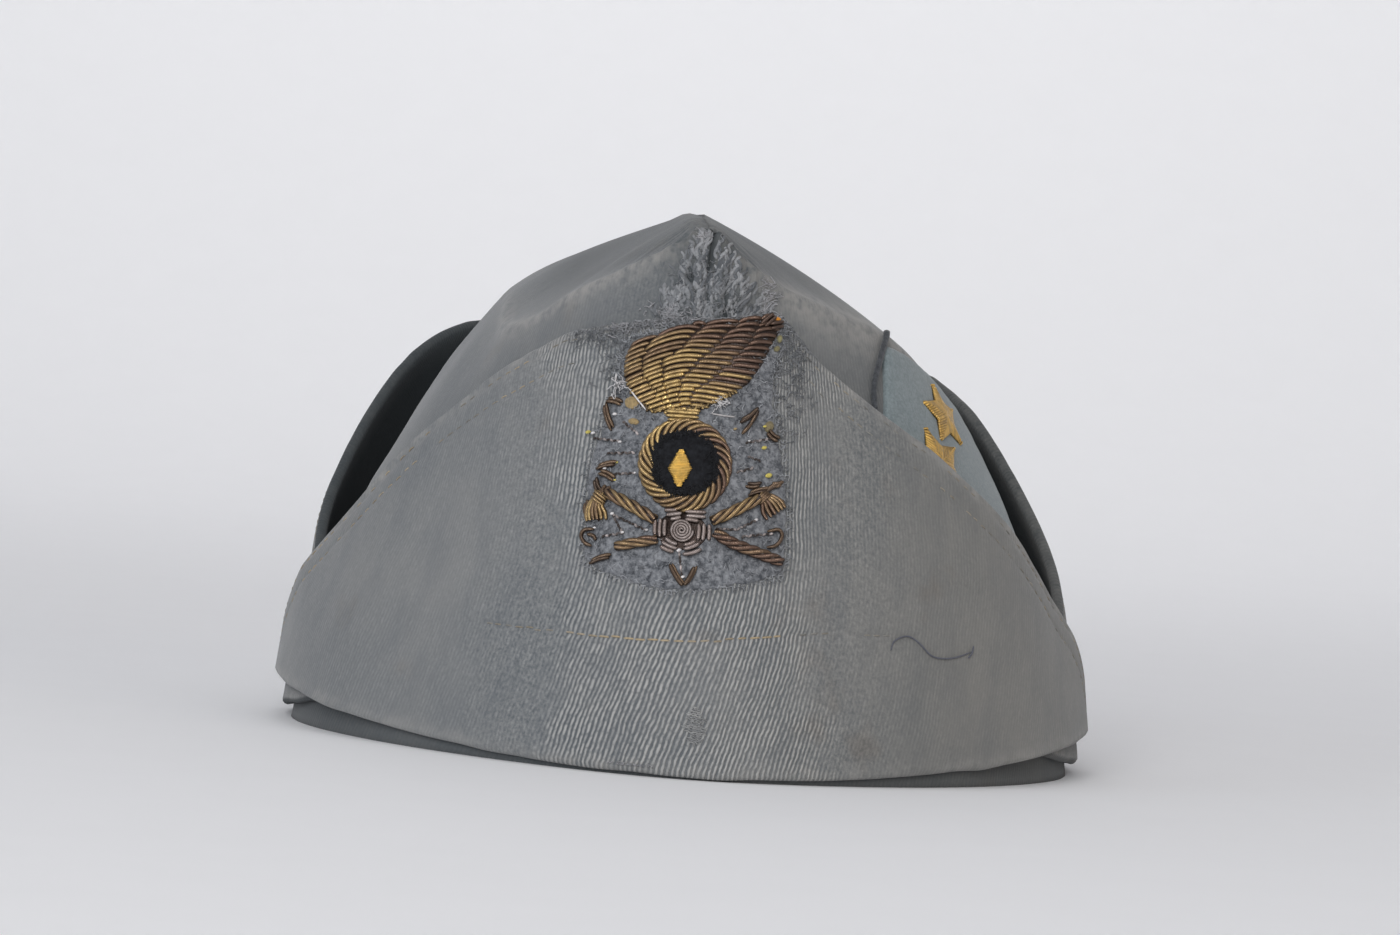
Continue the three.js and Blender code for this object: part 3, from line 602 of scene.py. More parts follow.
PEAK_CREASES = [
    # x, low, high, half width and depth: the torn slit first, then the puckers below it
    (SLIT_X, SLIT_LOW, 108.4, 0.36, 1.5), (-5, 97.6, 100.6, 0.7, 0.9), (-6.2, 93.5, 97.3, 0.5, 0.8),
    (-3.2, 94.8, 97.2, 0.45, 0.7), (-1.2, 94.6, 97.8, 0.45, 0.7), (0.3, 97.5, 101, 0.4, 0.8),
    (2.5, 93.4, 96.4, 0.45, 0.7), (3.8, 90.8, 93.6, 1.3, 0.9), (-8, 92.6, 95, 0.4, 0.7),
]
LEAN_LOW, LEAN_HIGH = math.tan(math.radians(17)), math.tan(math.radians(5))
LEAN_FROM, LEAN_TO = 26, 52
WEAVE_HEIGHTS = np.linspace(-20, 260, 281)


def covered_to(side, at):
    """The height up to which the flap or the curtain hides the crown."""
    flap = np.where(at < FLAP_END, track_side(FLAP_EDGES, side, "top", at), 0)
    curtain = np.where(at > CURTAIN_START, track_side(CURTAIN_EDGES, side, "top", at), 0)
    return np.maximum(flap, curtain)


def seam_distance(at, points):
    height = np.clip(points[..., 2] / RIBS["ridge_z"][0], 0, 1)
    return np.abs(points[..., 0] - track(RIBS, "ridge_x", at) * height)


def peak_share(points):
    """How worn the cloth is round the front peak, 0 to 1."""
    tall = smooth(PEAK_LOW, PEAK_HIGH, points[..., 2])
    front = smooth(PEAK_BACK_Y, PEAK_FRONT_Y, points[..., 1])
    return tall * front * bump(points[..., 0], PEAK_HALF)


def peak_creases(points):
    """How deep in millimetres the torn and puckered cloth of the peak falls in."""
    x, up = points[..., 0], points[..., 2]
    depth = 0
    for middle, low, high, half, deep in PEAK_CREASES:
        within = smooth(low - 1, low + 0.6, up) * smooth(high + 1, high - 0.6, up)
        depth = depth + deep * bump(x - middle - 0.25 * noise(up / 1.5, middle), half) * within
    return depth * smooth(CREASE_BACK_Y, CREASE_FRONT_Y, points[..., 1])


def crease_ridge(at, rise, half):
    return bump((rise - SHOULDER_RISE) * CROWN_SIZE, half) * track(RIBS, "crease", at)


def crown_relief(side, at, rise, points):
    """How far the crown's outer face stands out of its plain form, where it shows."""
    along, up = run_along(CROWN_RUN, side, at), points[..., 2]
    shown = smooth(HIDDEN_BELOW, SHOWN_ABOVE, up - covered_to(side, at))
    if side == RIGHT:
        under_patch = smooth(PATCH_FROM, PATCH_FROM + 0.03, at) * smooth(PATCH_TO, PATCH_TO - 0.04, at)
        shown = shown * (1 - under_patch)
    seam = seam_distance(at, points)
    sewn = SEAM_LIP * bump(seam - LIP_OFF, LIP_HALF) - SEAM_DEPTH * bump(seam, SEAM_HALF)
    puckers = ripples(PEAK_PUCKERS, along, up) * peak_share(points)
    crest = CREST_LIFT * crease_ridge(at, rise, CREST_HALF)
    return shown * (ripples(CROWN_DENTS, along, up) + sewn + puckers - peak_creases(points) + crest)


def crown_outside(side, at, height):
    """The crown's outer face with its relief: the points and the ways out."""
    point, outward, rise = wall_at(side, at, height)
    return point + outward * crown_relief(side, at, rise, point)[..., None], outward


def weave_of(along, up):
    """Places on the weave: the wales drift sideways up the cloth, less so higher up."""
    slope = LEAN_LOW + (LEAN_HIGH - LEAN_LOW) * smooth(LEAN_FROM, LEAN_TO, WEAVE_HEIGHTS)
    return np.stack([along - np.interp(up, WEAVE_HEIGHTS, np.cumsum(slope)), up], -1)


def make_crown():
    heap = Heap()
    shape = (CROWN_COLUMNS + 1, CROWN_ROWS + 1)
    share = np.linspace(0, 1, shape[0])[:, None]
    at = np.broadcast_to((1 - PROW_CROWDING) * share + PROW_CROWDING * share ** 2, shape)
    rise = np.broadcast_to(np.linspace(0, 1, shape[1]), shape)
    sheets = [rib(side, at, rise) for side in SIDES]
    points, faces = np.concatenate(sheets).reshape(-1, 3), grid_faces(*shape)
    first, faces = welded(points, np.concatenate([faces[:, ::-1], faces + at.size]))
    points = points[first]
    up = np.concatenate([run_of(sheet, 1) for sheet in sheets]).ravel()[first]
    on_left = np.repeat([True, False], at.size)[first]
    at, rise = (np.tile(values.ravel(), 2)[first] for values in (at, rise))
    along = np.where(on_left, *(run_along(CROWN_RUN, side, at) for side in SIDES))

    normals = point_normals(points, faces)
    normals[points[:, 2] < MM, 2] = 0
    normals = unit(normals)
    relief = np.where(on_left, *(crown_relief(side, at, rise, points) for side in SIDES))
    both, faces = shell(points + normals * relief[:, None], normals, faces, CROWN_WALL)

    seam = bump(seam_distance(at, points) - SEAM_WEAR_OFF, LIP_HALF) * (points[:, 2] > SEAM_WEAR_LOW)
    crease = crease_ridge(at, rise, np.where(on_left, CREASE_WEAR_HALF[LEFT], CREASE_WEAR_HALF[RIGHT]))
    wear = np.clip(crease + SEAM_WEAR * seam, 0, 1)
    # Painted shade darkens the roof, the ground of the rubbed peak, its slit and puckers, and a band along
    # the foot; the crown's inside is painted fully shaded
    roof = smooth(SHOULDER_RISE + 0.02, SHOULDER_RISE + 0.14, rise)
    foot = smooth(FOOT_SHADE_TOP, FOOT_SHADE_TOP / 2, points[:, 2])
    core = bump(points[:, 0] - CORE_X, CORE_HALF)
    peak = peak_share(points) * (PEAK_SHADE + CORE_SHADE * core) * (1 - roof)
    shaded = CREASE_SHADE * peak_creases(points) + ROOF_SHADE * roof + peak + FOOT_SHADE * foot
    shaded = np.clip(shaded, 0, DARKEST)
    heap.add(both, faces, weave=np.tile(weave_of(along, up), (2, 1)), wear=np.concatenate([wear, 0 * wear]),
             soft=np.tile(0.65 + 0.3 * smooth(0.05, 0.16, at), 2),
             lining=np.concatenate([shaded, np.ones(len(shaded))]))
    heap.piece("crown_cloth", crown_cloth, "crown_cloth", "crown_left_panel", "crown_right_panel")


make_crown()

# Flap and curtain

STITCH_LINE = table("x z", [
    (-46, 26.4), (-35, 26.5), (-17, 26.3), (-9, 26.4), (3, 27), (14.5, 28.5), (28.5, 30.1), (42, 29.9),
])
STITCH_LINE_REACH, STITCH_LINE_END = 46, 0.3
LINE_DEPTH, LINE_HALF = 0.35, 0.8
EDGE_STITCH_DROPS = (2.2, 7.3)
EDGE_STITCH_DEPTH, EDGE_STITCH_HALF = 0.22, 0.7
OUTER_ROWS, INNER_ROWS, NOSE_ROWS = 84, 40, 6
FLAP_COLUMNS, CURTAIN_COLUMNS = 190, 150
BAND_DENTS = [(0.55, 30, 26, 7, 0), (0.25, 12, 11, 0, 4)]
EDGE_WAVES = [(0.45, 11, 1, 3, 0.5), (0.22, 3.5, 1, 0, 2.5)]
HEM_WAVES = [(0.25, 8, 1, 0, 7.5)]
WOVEN_EDGES = table("z left right", [
    # between which places the wales still show, outside them the nap has felted over
    (0, -18, 20), (30, -20, 13), (50, -20, 15), (68, -25, 17), (85, -28, 18),
])
WOVEN_WANDER = [(3.5, 6, 9, 0, 0), (1.5, 2.5, 3, 4, 0)]
LEFT_FADE, RIGHT_FADE = 12, 18
SMOOTH_FROM, SMOOTH_TO = 26, 54
TOP_WEAR, TOP_WEAR_HALF, HEM_WEAR, HEM_WEAR_HALF = 0.75, 1.8, 0.5, 1.5
# painted shade: how dark the curtain's noses and inside are on each side, and over how many millimetres below
# the top edge the bands' insides darken further
RIM_SHADE = {LEFT: 0.82, RIGHT: 0.55}
POCKET_SHADE_DEPTH = 7
CURTAIN_SOFT = 0.45
FAR = 40


def stitch_height(x):
    return np.interp(x, STITCH_LINE["x"], STITCH_LINE["z"])


def edge_top(edges, side, at):
    """The top edge with the small waves of handled cloth."""
    return track_side(edges, side, "top", at) + ripples(EDGE_WAVES, run_along(BAND_RUN, side, at), 0)


def band_relief(edges, side, at, height, x):
    below = track_side(edges, side, "top", at) - height
    dents = ripples(BAND_DENTS, run_along(BAND_RUN, side, at), height)
    sewn = sum(EDGE_STITCH_DEPTH * bump(below - drop, EDGE_STITCH_HALF) for drop in EDGE_STITCH_DROPS)
    if edges is FLAP_EDGES:
        on_line = (np.abs(x) < STITCH_LINE_REACH) * (at < STITCH_LINE_END)
        sewn = sewn + LINE_DEPTH * bump(height - stitch_height(x), LINE_HALF) * on_line
    return dents * smooth(0, 6, height) * smooth(0, 3, below) - sewn


def band_outside(edges, lift, side, at, height):
    """A band's outer face with its relief: the points and the ways out."""
    point, outward, _ = wall_at(side, at, height)
    out = sideways(outward)
    point = point + out * (lift(side, at, height) + BAND_WALL)[..., None]
    return point + out * band_relief(edges, side, at, height, point[..., 0])[..., None], outward


def softness(x, z):
    """How far the nap of the flap has felted over, and smoothed out towards the sides."""
    left, right = (np.interp(z, WOVEN_EDGES["z"], WOVEN_EDGES[name]) for name in ("left", "right"))
    edge = x + ripples(WOVEN_WANDER, z, x)
    matted = np.maximum(smooth(left, left - LEFT_FADE, edge), smooth(right, right + RIGHT_FADE, edge))
    return FELTED_SOFT * matted + (1 - FELTED_SOFT) * smooth(SMOOTH_FROM, SMOOTH_TO, np.abs(x))


def band_sheet(edges, lift, side, at):
    """One side of a turned-up band: rings of points, one to each place along it, and their values."""
    half = BAND_WALL / 2
    at = at[:, None]
    along = run_along(BAND_RUN, side, at)
    low = track(edges, "hem", at) + half + ripples(HEM_WAVES, along, 0)
    high = edge_top(edges, side, at) - half

    def spine(share):
        height = low + (high - low) * share[None, :]
        point, outward, _ = wall_at(side, at, height)
        out = sideways(outward)
        return point + out * (lift(side, at, height) + half)[..., None], out, height

    def nose(centre, way, sign):
        angle = np.linspace(0, np.pi, NOSE_ROWS + 1)[1:-1]
        rise = np.array([0, 0, half])
        turned = way[:, None] * (half * np.cos(angle))[:, None] + np.sin(angle)[:, None] * rise
        return centre[:, None] + sign * turned

    place, out, height = spine(np.linspace(0, 1, OUTER_ROWS + 1))
    outer = place + out * (half + band_relief(edges, side, at, height, place[..., 0]))[..., None]
    inner_place, inner_out, inner_height = spine(np.linspace(1, 0, INNER_ROWS + 1))
    inner = inner_place - inner_out * half
    stretches = [outer, nose(place[:, -1], out[:, -1], 1), inner, nose(place[:, 0], out[:, 0], -1)]
    ring = np.concatenate(stretches, 1)

    def round_ring(*values):
        """A value for each point of the rings, from one for each stretch round them."""
        return np.concatenate([np.broadcast_to(value, stretch.shape[:2])
                               for value, stretch in zip(values, stretches)], 1)

    up = run_of(ring, 1)
    up[:, 1 - NOSE_ROWS:] = up[:, :1]
    # Painted shade: the curtain's noses and inside are shaded, more on the left, and the insides of both
    # bands darken further the deeper they lie below the top edge
    rim = RIM_SHADE[side] if edges is CURTAIN_EDGES else 0
    deep = smooth(0, POCKET_SHADE_DEPTH, high - inner_height)
    lining = round_ring(0, rim, rim + (1 - RIM_SHADE[side]) * deep, rim)
    below_top, above_hem = round_ring(high - height, 0, FAR, FAR), round_ring(height - low, FAR, FAR, 0)
    worn = TOP_WEAR * bump(below_top, TOP_WEAR_HALF) + HEM_WEAR * bump(above_hem, HEM_WEAR_HALF)
    wear = np.clip(worn * (0.6 + 0.4 * noise(along / 4, up / 3)), 0, 1)
    soft = np.full(up.shape, CURTAIN_SOFT)
    if edges is FLAP_EDGES:
        soft = softness(ring[..., 0], ring[..., 2])
    return ring, weave_of(along, up), wear, soft, lining


def make_band(name, edges, lift, places, start, material, node):
    """A band from its end on the starting side round to its other end, with closed ends."""
    heap = Heap()
    sheets = [band_sheet(edges, lift, side, places) for side in (start, -start)]
    grids = [np.concatenate([first[::-1], second[1:]]) for first, second in zip(*sheets)]
    ring = grids[0]
    points = np.concatenate([ring.reshape(-1, 3), ring[[0, -1]].mean(1)])
    values = [np.concatenate([grid.reshape(-1, *grid.shape[2:]), grid[[0, -1], 0]]) for grid in grids[1:]]
    heap.add(points, closed_faces(*ring.shape[:2]), **dict(zip(("weave", "wear", "soft", "lining"), values)))
    heap.piece(name, material, name, node)


flap_places = FLAP_END * np.linspace(0, 1, FLAP_COLUMNS + 1)
curtain_places = 1 - (1 - CURTAIN_START) * np.linspace(0, 1, CURTAIN_COLUMNS + 1)
make_band("flap_cloth", FLAP_EDGES, flap_lift, flap_places, LEFT, flap_cloth, "front_flap")
make_band("curtain_cloth", CURTAIN_EDGES, curtain_lift, curtain_places, RIGHT, curtain_cloth, "side_curtain")

# Places on a face, for what is laid or sewn on it


class Face:
    """A front face looked up by x and height: its points, raised by a height, and the ways out."""

    def __init__(self, outside, x, z, reach):
        at = np.linspace(0, reach, 240)[None, :]
        left, right = (np.concatenate(outside(side, at, z[:, None]), -1) for side in SIDES)
        rows = np.concatenate([left[:, :0:-1], right], 1)
        columns = [[np.interp(x, row[:, 0], row[:, k]) for k in range(6)] for row in rows]
        self.x, self.z, self.grid = x, z, np.moveaxis(np.array(columns), 1, 2)

    def __call__(self, x, z, height=0.0):
        x, z = np.broadcast_arrays(np.asarray(x, float), np.asarray(z, float))
        column = np.clip((x - self.x[0]) / (self.x[1] - self.x[0]), 0, len(self.x) - 1.001)
        row = np.clip((z - self.z[0]) / (self.z[1] - self.z[0]), 0, len(self.z) - 1.001)
        i, j = row.astype(int), column.astype(int)
        up, across = (row - i)[..., None], (column - j)[..., None]
        low = self.grid[i, j] * (1 - across) + self.grid[i, j + 1] * across
        high = self.grid[i + 1, j] * (1 - across) + self.grid[i + 1, j + 1] * across
        both = low * (1 - up) + high * up
        out = unit(both[..., 3:])
        return both[..., :3] + out * np.asarray(height, float)[..., None], out


def flap_outside(side, at, height):
    top = track_side(FLAP_EDGES, side, "top", at)
    return band_outside(FLAP_EDGES, flap_lift, side, at, np.minimum(height, top - 0.3))


FLAP_X, FLAP_Z, FLAP_REACH = np.arange(-66, 67, 1.0), np.arange(2, 94, 1.0), 0.5
PEAK_X, PEAK_Z, PEAK_REACH = np.arange(-30, 31, 0.5), np.arange(84, 108.6, 0.5), 0.22
flap_face = Face(flap_outside, FLAP_X, FLAP_Z, FLAP_REACH)
peak_face = Face(crown_outside, PEAK_X, PEAK_Z, PEAK_REACH)


def curve(places, count):
    """A smooth run of points through a few places."""
    places = np.asarray(places, float)
    steps = np.linspace(0, 1, len(places))
    at = np.linspace(0, 1, count)
    return np.stack([track({"at": steps, "value": column}, "value", at) for column in places.T], 1)


def loop(places, count):
    """A smooth closed run of points through a few places."""
    places = np.asarray(places, float)
    at = np.arange(count) / count * len(places)
    step = at.astype(int)
    f = (at - step)[:, None]
    a, b, c, d = (places[(step + k) % len(places)] for k in (-1, 0, 1, 2))
    return b + f * ((c - a) + f * ((2 * a - 5 * b + 4 * c - d) + f * (3 * b - a - 3 * c + d))) / 2


def bowed(x0, z0, x1, z1, bow, count):
    """Places from one end to the other, bent sideways by a bow."""
    share = np.linspace(0, 1, count)
    bend = bow * np.sin(share * np.pi)
    span = max(math.hypot(x1 - x0, z1 - z0), MM)
    x = x0 + (x1 - x0) * share + bend * (z1 - z0) / span
    z = z0 + (z1 - z0) * share - bend * (x1 - x0) / span
    return x, z


def around(heart, reach, turn, squash=0.965):
    return heart[0] + squash * reach * np.cos(turn), heart[1] + reach * np.sin(turn)


def mixed(share, first, second):
    share = np.clip(share, 0, 1)
    return np.array(first) * (1 - share) + np.array(second) * share


def laid(heap, x, z, height, radius, tint, face=flap_face, sides=8):
    """A strand along places on a face, its middle a height above it."""
    path, out = face(x, z, np.broadcast_to(height, np.shape(x)))
    points, faces, weave = tube(path, radius, out, sides)
    heap.add(points, faces, weave=weave, tint=tint)


HAIR_STEPS = 9
HAIRS = {
    # kind: lengths, sway, lifts, radii, height of its root above the face
    "felt_edge": ((0.6, 1.9), 0.5, (0.1, 0.5), (0.05, 0.11), 0.25),
    "felt": ((0.8, 2.2), 0.5, (0.05, 0.2), (0.04, 0.08), 0.88),
    "tuft": ((0.8, 1.8), 1.2, (0.3, 0.8), (0.05, 0.1), 1.0),
    "disc": ((0.4, 1.3), 0.6, (0.1, 0.4), (0.06, 0.11), 2.0),
    "peak": ((0.8, 2.2), 0.9, 0.3, (0.05, 0.08), 0.2),
    "peak_fuzz": ((0.6, 1.5), 1.2, (0.2, 0.5), (0.05, 0.09), 0.1),
    "flap_top": ((0.8, 2.6), 0.8, (0.3, 1), (0.05, 0.11), 0.1),
    "flap_edge": ((0.8, 2.2), 0.9, (0.1, 0.4), (0.05, 0.09), 0.1),
    "hem": ((0.8, 1.8), 0.6, 0.4, (0.06, 0.11), 0.1),
}


def hair(heap, kind, x, z, lean, tint, face=flap_face):
    """A hair lying over a face, starting at a place and wandering along its lean, which is an angle, a
    middle and spread to draw one from, or any way round. The tint is one colour or a pair to mix."""
    lengths, sway, lifts, radii, root = HAIRS[kind]
    length = between(*lengths)
    if lean is None:
        lean = between(0, TURN)
    elif isinstance(lean, tuple):
        lean = near(*lean)
    lift = between(*lifts) if isinstance(lifts, tuple) else lifts
    radius = between(*radii)
    if isinstance(tint, list):
        tint = mixed(CHANCE.random(), *tint)
    share = np.linspace(0, 1, HAIR_STEPS)
    drift = np.cumsum(near(0, sway / 3, HAIR_STEPS)) * np.minimum(1, share * 3)
    u = x + length * share * math.sin(lean) + drift * math.cos(lean)
    v = z + length * share * math.cos(lean) - drift * math.sin(lean)
    arch = lift * np.sin(np.pi * np.clip(share * 1.15, 0, 1))
    height = root + arch + np.abs(near(0, lift / 6, HAIR_STEPS))
    laid(heap, u, v, height, radius * rounded(HAIR_STEPS, 0.35), tint, face=face, sides=5)


PAD_RIM = table("share rounding", [(1, 0), (1, 0.35), (0.99, 0.72), (0.97, 0.92), (0.94, 1)])


def pad(heap, edge, heart, rim, rise, rough=0.0, steps=16, sink=0.5, face=flap_face, **values):
    """A closed pad on a face: its edge filled towards its heart, rounded off at the rim."""
    edge, heart = np.asarray(edge, float), np.asarray(heart, float)
    shares = np.concatenate([PAD_RIM["share"], np.linspace(0.9, 0.04, steps)])
    rounding = np.concatenate([PAD_RIM["rounding"], np.ones(steps)])
    place = heart + (edge - heart) * shares[:, None, None]
    uneven = rough * noise(place[..., 0] / 1.7, place[..., 1] / 1.7) * (shares < 0.98)[:, None]
    height = (rim * rounding + rise * (1 - shares ** 2))[:, None] + uneven
    height[0] = -sink
    points, _ = face(place[..., 0], place[..., 1], height)
    ends, _ = face(heart[:1].repeat(2), heart[1:].repeat(2), np.array([-sink, rim + rise]))
    points = np.concatenate([points.reshape(-1, 3), ends])
    weave = np.concatenate([place.reshape(-1, 2), heart[None], heart[None]])
    heap.add(points, closed_faces(len(shares), len(edge)), weave=weave, **values)


# Badge: felt and flame

GOLD, GILT = (0.6, 0.42, 0.17), (0.86, 0.52, 0.1)
BROWN, BRONZE = (0.17, 0.105, 0.075), (0.25, 0.165, 0.1)
MAUVE, SOOT = (0.34, 0.29, 0.272), (0.03, 0.021, 0.018)
CREAM, YELLOW, OCHRE = (0.62, 0.6, 0.6), (0.5, 0.42, 0.1), (0.3, 0.22, 0.11)
HAIR_DARK, EDGE_HAIR_DARK, HAIR_PALE = (0.03, 0.034, 0.042), (0.1, 0.105, 0.112), (0.34, 0.35, 0.37)

BACKING_HEART = (-2, 60)
BACKING_OUTLINE = [
    (-20.4, 40.4), (-10.2, 37.1), (-1.4, 36.5), (9.3, 38.4), (17.4, 41.2), (18, 47.8), (17.4, 57),
    (15.4, 66.5), (14, 72.5), (13.4, 79.4), (14.2, 85), (14.6, 89.4), (13.4, 91.2), (10, 91.5), (6.7, 90.9),
    (2.6, 90.1), (-1.4, 89.5), (-6.1, 88.4), (-9.6, 86.8), (-14.2, 85.6), (-16.6, 83.4), (-17.2, 79.5),
    (-17, 76), (-19.2, 70), (-21.8, 58), (-21.4, 48),
]
BACKING_STEPS = 220
EDGE_HAIRS, FELT_HAIRS, TUFT_HAIRS = 640, 1000, 14
TUFTS = [(-16.7, 75.3), (3, 73.5)]
FLAME_HEART = (-3, 80)
FLAME_OUTLINE = [
    (-3.6, 70.9), (0, 71.8), (3.9, 74.3), (7.8, 77.3), (9.9, 80.2), (11.4, 83.4), (12.9, 87), (14, 89.8),
    (13.2, 91.4), (10, 91.6), (6.7, 90.8), (2.6, 90), (-1.4, 89.4), (-6.1, 88.2), (-9.4, 86.4), (-13.8, 85.1),
    (-15.6, 83.2), (-16.4, 79.9), (-16.1, 77.2), (-15, 74.6), (-13.4, 72.6), (-11.5, 71.1), (-7.4, 70.6),
]
FLAME_VEINS = table("z first second third fourth", [
    # where the strands of each row end, on lines that fan out from the neck
    (70, -5.6, -5.2, -4.3, -3.6), (75, -9.4, -7.7, -4.8, -2.3), (78, -12, -8.2, -4.3, 0.6),
    (81, -12.5, -7.7, -1.6, 4.2), (84, -11.6, -5, 0.9, 6.4), (87, -9.6, -2.6, 3, 8.2),
    (92, -6, 1.2, 6.4, 10.4),
])
FLAME_LOW, FLAME_HIGH, FLAME_SPINE = 70.8, 93, -3
FLAME_LEFT, FLAME_RIGHT, LEAST_PLACES, VEIN_MARGIN = -17, 15, 12, 0.7
FLAME_PITCH, FLAME_STRAND, FLAME_EDGE = 0.95, 0.46, 0.985
FLAME_RIM, FLAME_RISE = 0.95, 0.85
GOLDEN_X, GOLDEN_Z, GOLDEN_WIDE, GOLDEN_TALL = -6, 73.5, 13.5, 13
LEFT_FALL, LEFT_BEND, RIGHT_BEND = 0.5, 4, 3
RIGHT_RISE = table("base slope", [(72, -0.14), (80, -0.06), (85, 0.08), (90, 0.24)])
HEM_BEADS = table("x z", [
    (-11.6, 71.9), (-9.6, 71.1), (-7.4, 71.2), (-3.6, 71.6), (0, 72.4), (3.9, 74.7), (6, 76.2),
])
BEAD_RUN, BEAD_PITCH, BEAD_HALF = (-11.4, 6), 0.55, 0.2
NECK_X = -3.95
NECK_BARS = [(69.4, 2.7), (70.2, 3.1), (71, 3.1)]  # height, half length
TIP_BARS = [
    # x, z at one end, x, z at the other
    (9.4, 89.9, 11.6, 92.1), (10.2, 89.4, 12.2, 91.5), (11.2, 89.9, 13.8, 90.6), (11.4, 89, 13.8, 89.7),
]
BAR_STEPS = 13


def make_backing():
    heap = Heap()
    ragged = 1 + 0.012 * noise(np.arange(BACKING_STEPS) / 3, 0.5) + 0.008 * near(size=BACKING_STEPS)
    edge = loop(BACKING_OUTLINE, BACKING_STEPS) - BACKING_HEART
    pad(heap, np.array(BACKING_HEART) + edge * ragged[:, None], BACKING_HEART, 0.3, 0.6, rough=0.16, steps=46)
    heap.piece("badge_backing", backing_felt, "badge_felt", "badge_backing")


def make_felt_hairs():
    """The loose hairs of the felt, over its face and out past its edge."""
    heap = Heap()
    edge = loop(BACKING_OUTLINE, EDGE_HAIRS)
    for x, z in edge:
        way = math.atan2(x - BACKING_HEART[0], z - BACKING_HEART[1])
        hair(heap, "felt_edge", x, z, (way, 0.9), [EDGE_HAIR_DARK, HAIR_PALE])
    for _ in range(FELT_HAIRS):
        pick = edge[CHANCE.integers(len(edge))]
        x, z = BACKING_HEART + (pick - BACKING_HEART) * CHANCE.random() ** 0.5
        hair(heap, "felt", x, z, None, [HAIR_DARK, HAIR_PALE])
    for x, z in TUFTS:
        for _ in range(TUFT_HAIRS):
            hair(heap, "tuft", near(x, 0.35), near(z, 0.35), None, [mixed(0.4, HAIR_PALE, CREAM), CREAM])
    heap.piece("badge_felt_hairs", sewing_thread, "badge_felt")


def flame_share(x, z):
    """How far a place lies from the flame's heart towards its outline, 1 on it."""
    edge = loop(FLAME_OUTLINE, 300) - FLAME_HEART
    angle, reach = np.arctan2(edge[:, 1], edge[:, 0]), np.hypot(edge[:, 0], edge[:, 1])
    order = np.argsort(angle)
    way = np.arctan2(z - FLAME_HEART[1], x - FLAME_HEART[0])
    limit = np.interp(way, angle[order], reach[order], period=TURN)
    return np.hypot(x - FLAME_HEART[0], z - FLAME_HEART[1]) / limit


def flame_row(base, x):
    """The height of a row of strands: it falls away to the left and, high up, lifts towards the tip."""
    off = x - FLAME_SPINE
    fall = LEFT_FALL * (np.hypot(off, LEFT_BEND) - LEFT_BEND)
    climb = np.interp(base, RIGHT_RISE["base"], RIGHT_RISE["slope"])
    return base + np.where(off < 0, -fall, climb * (np.hypot(off, RIGHT_BEND) - RIGHT_BEND))


def flame_ends(base):
    """Where one row's strands start and stop: the outline and the veins between."""
    x = np.linspace(FLAME_LEFT, FLAME_RIGHT, 261)
    z = flame_row(base, x)
    within = x[flame_share(x, z) < FLAME_EDGE]
    if len(within) < LEAST_PLACES:
        return []
    ends = [within[0], within[-1]]
    for vein in ("first", "second", "third", "fourth"):
        past = x - np.interp(z, FLAME_VEINS["z"], FLAME_VEINS[vein])
        crossing = np.interp(0, past, x) + near(0, 0.3)
        if within[0] + VEIN_MARGIN < crossing < within[-1] - VEIN_MARGIN:
            ends.append(crossing)
    return sorted(ends)


def flame_strand(heap, base, low, high):
    """One wire of a row, more golden the nearer it lies to the flame's foot."""
    share = np.linspace(-1, 1, BAR_STEPS)
    run = low + (high - low) * (share + 1) / 2
    arch = 0.45 * smooth(80, 88, flame_row(base, run.mean())) * (1 - share ** 2)
    z = flame_row(base, run) + 0.15 * share ** 3 + arch + near(0, 0.07)
    swell = FLAME_RIM + FLAME_RISE * (1 - np.clip(flame_share(run, z), 0, 1) ** 2)
    height = swell - 0.5 * share ** 6 + near(0, 0.05)
    far = np.hypot((run.mean() - GOLDEN_X) / GOLDEN_WIDE, (z.mean() - GOLDEN_Z) / GOLDEN_TALL)
    tint = mixed(1.15 - far + near(0, 0.15), BROWN, GOLD)
    laid(heap, run, z, height, FLAME_STRAND * rounded(BAR_STEPS, 0.6), tint)


def make_flame():
    heap = Heap()
    pad(heap, loop(FLAME_OUTLINE, 120), FLAME_HEART, 0.8, 0.85, tint=SOOT)
    for base in np.arange(FLAME_LOW, FLAME_HIGH, FLAME_PITCH):
        ends = flame_ends(base)
        for low, high in zip(ends, ends[1:]):
            flame_strand(heap, base, low, high)
    for z, half in NECK_BARS:
        run = np.linspace(NECK_X - half, NECK_X + half, BAR_STEPS)
        laid(heap, run, z + 0 * run, 1.35, 0.44 * rounded(BAR_STEPS), mixed(0.95, BROWN, GOLD))
    for x in np.arange(*BEAD_RUN, BEAD_PITCH):
        z = np.interp(x, HEM_BEADS["x"], HEM_BEADS["z"]) + near(0, 0.16)
        run = np.array([x - BEAD_HALF, x, x + BEAD_HALF])
        tint = mixed(between(0.1, 0.75), SOOT, GOLD)
        laid(heap, run, z + near(0, 1.2) * (run - x), 1.25, 0.32, tint, sides=6)
    for ends in TIP_BARS:
        laid(heap, *bowed(*ends, 0, BAR_STEPS), 1.5, 0.42 * rounded(BAR_STEPS), mixed(0.5, SOOT, BROWN))
    heap.piece("badge_flame", bullion_wire, "bullion_gold", "badge_flame")


# Badge: ring, disc and mark

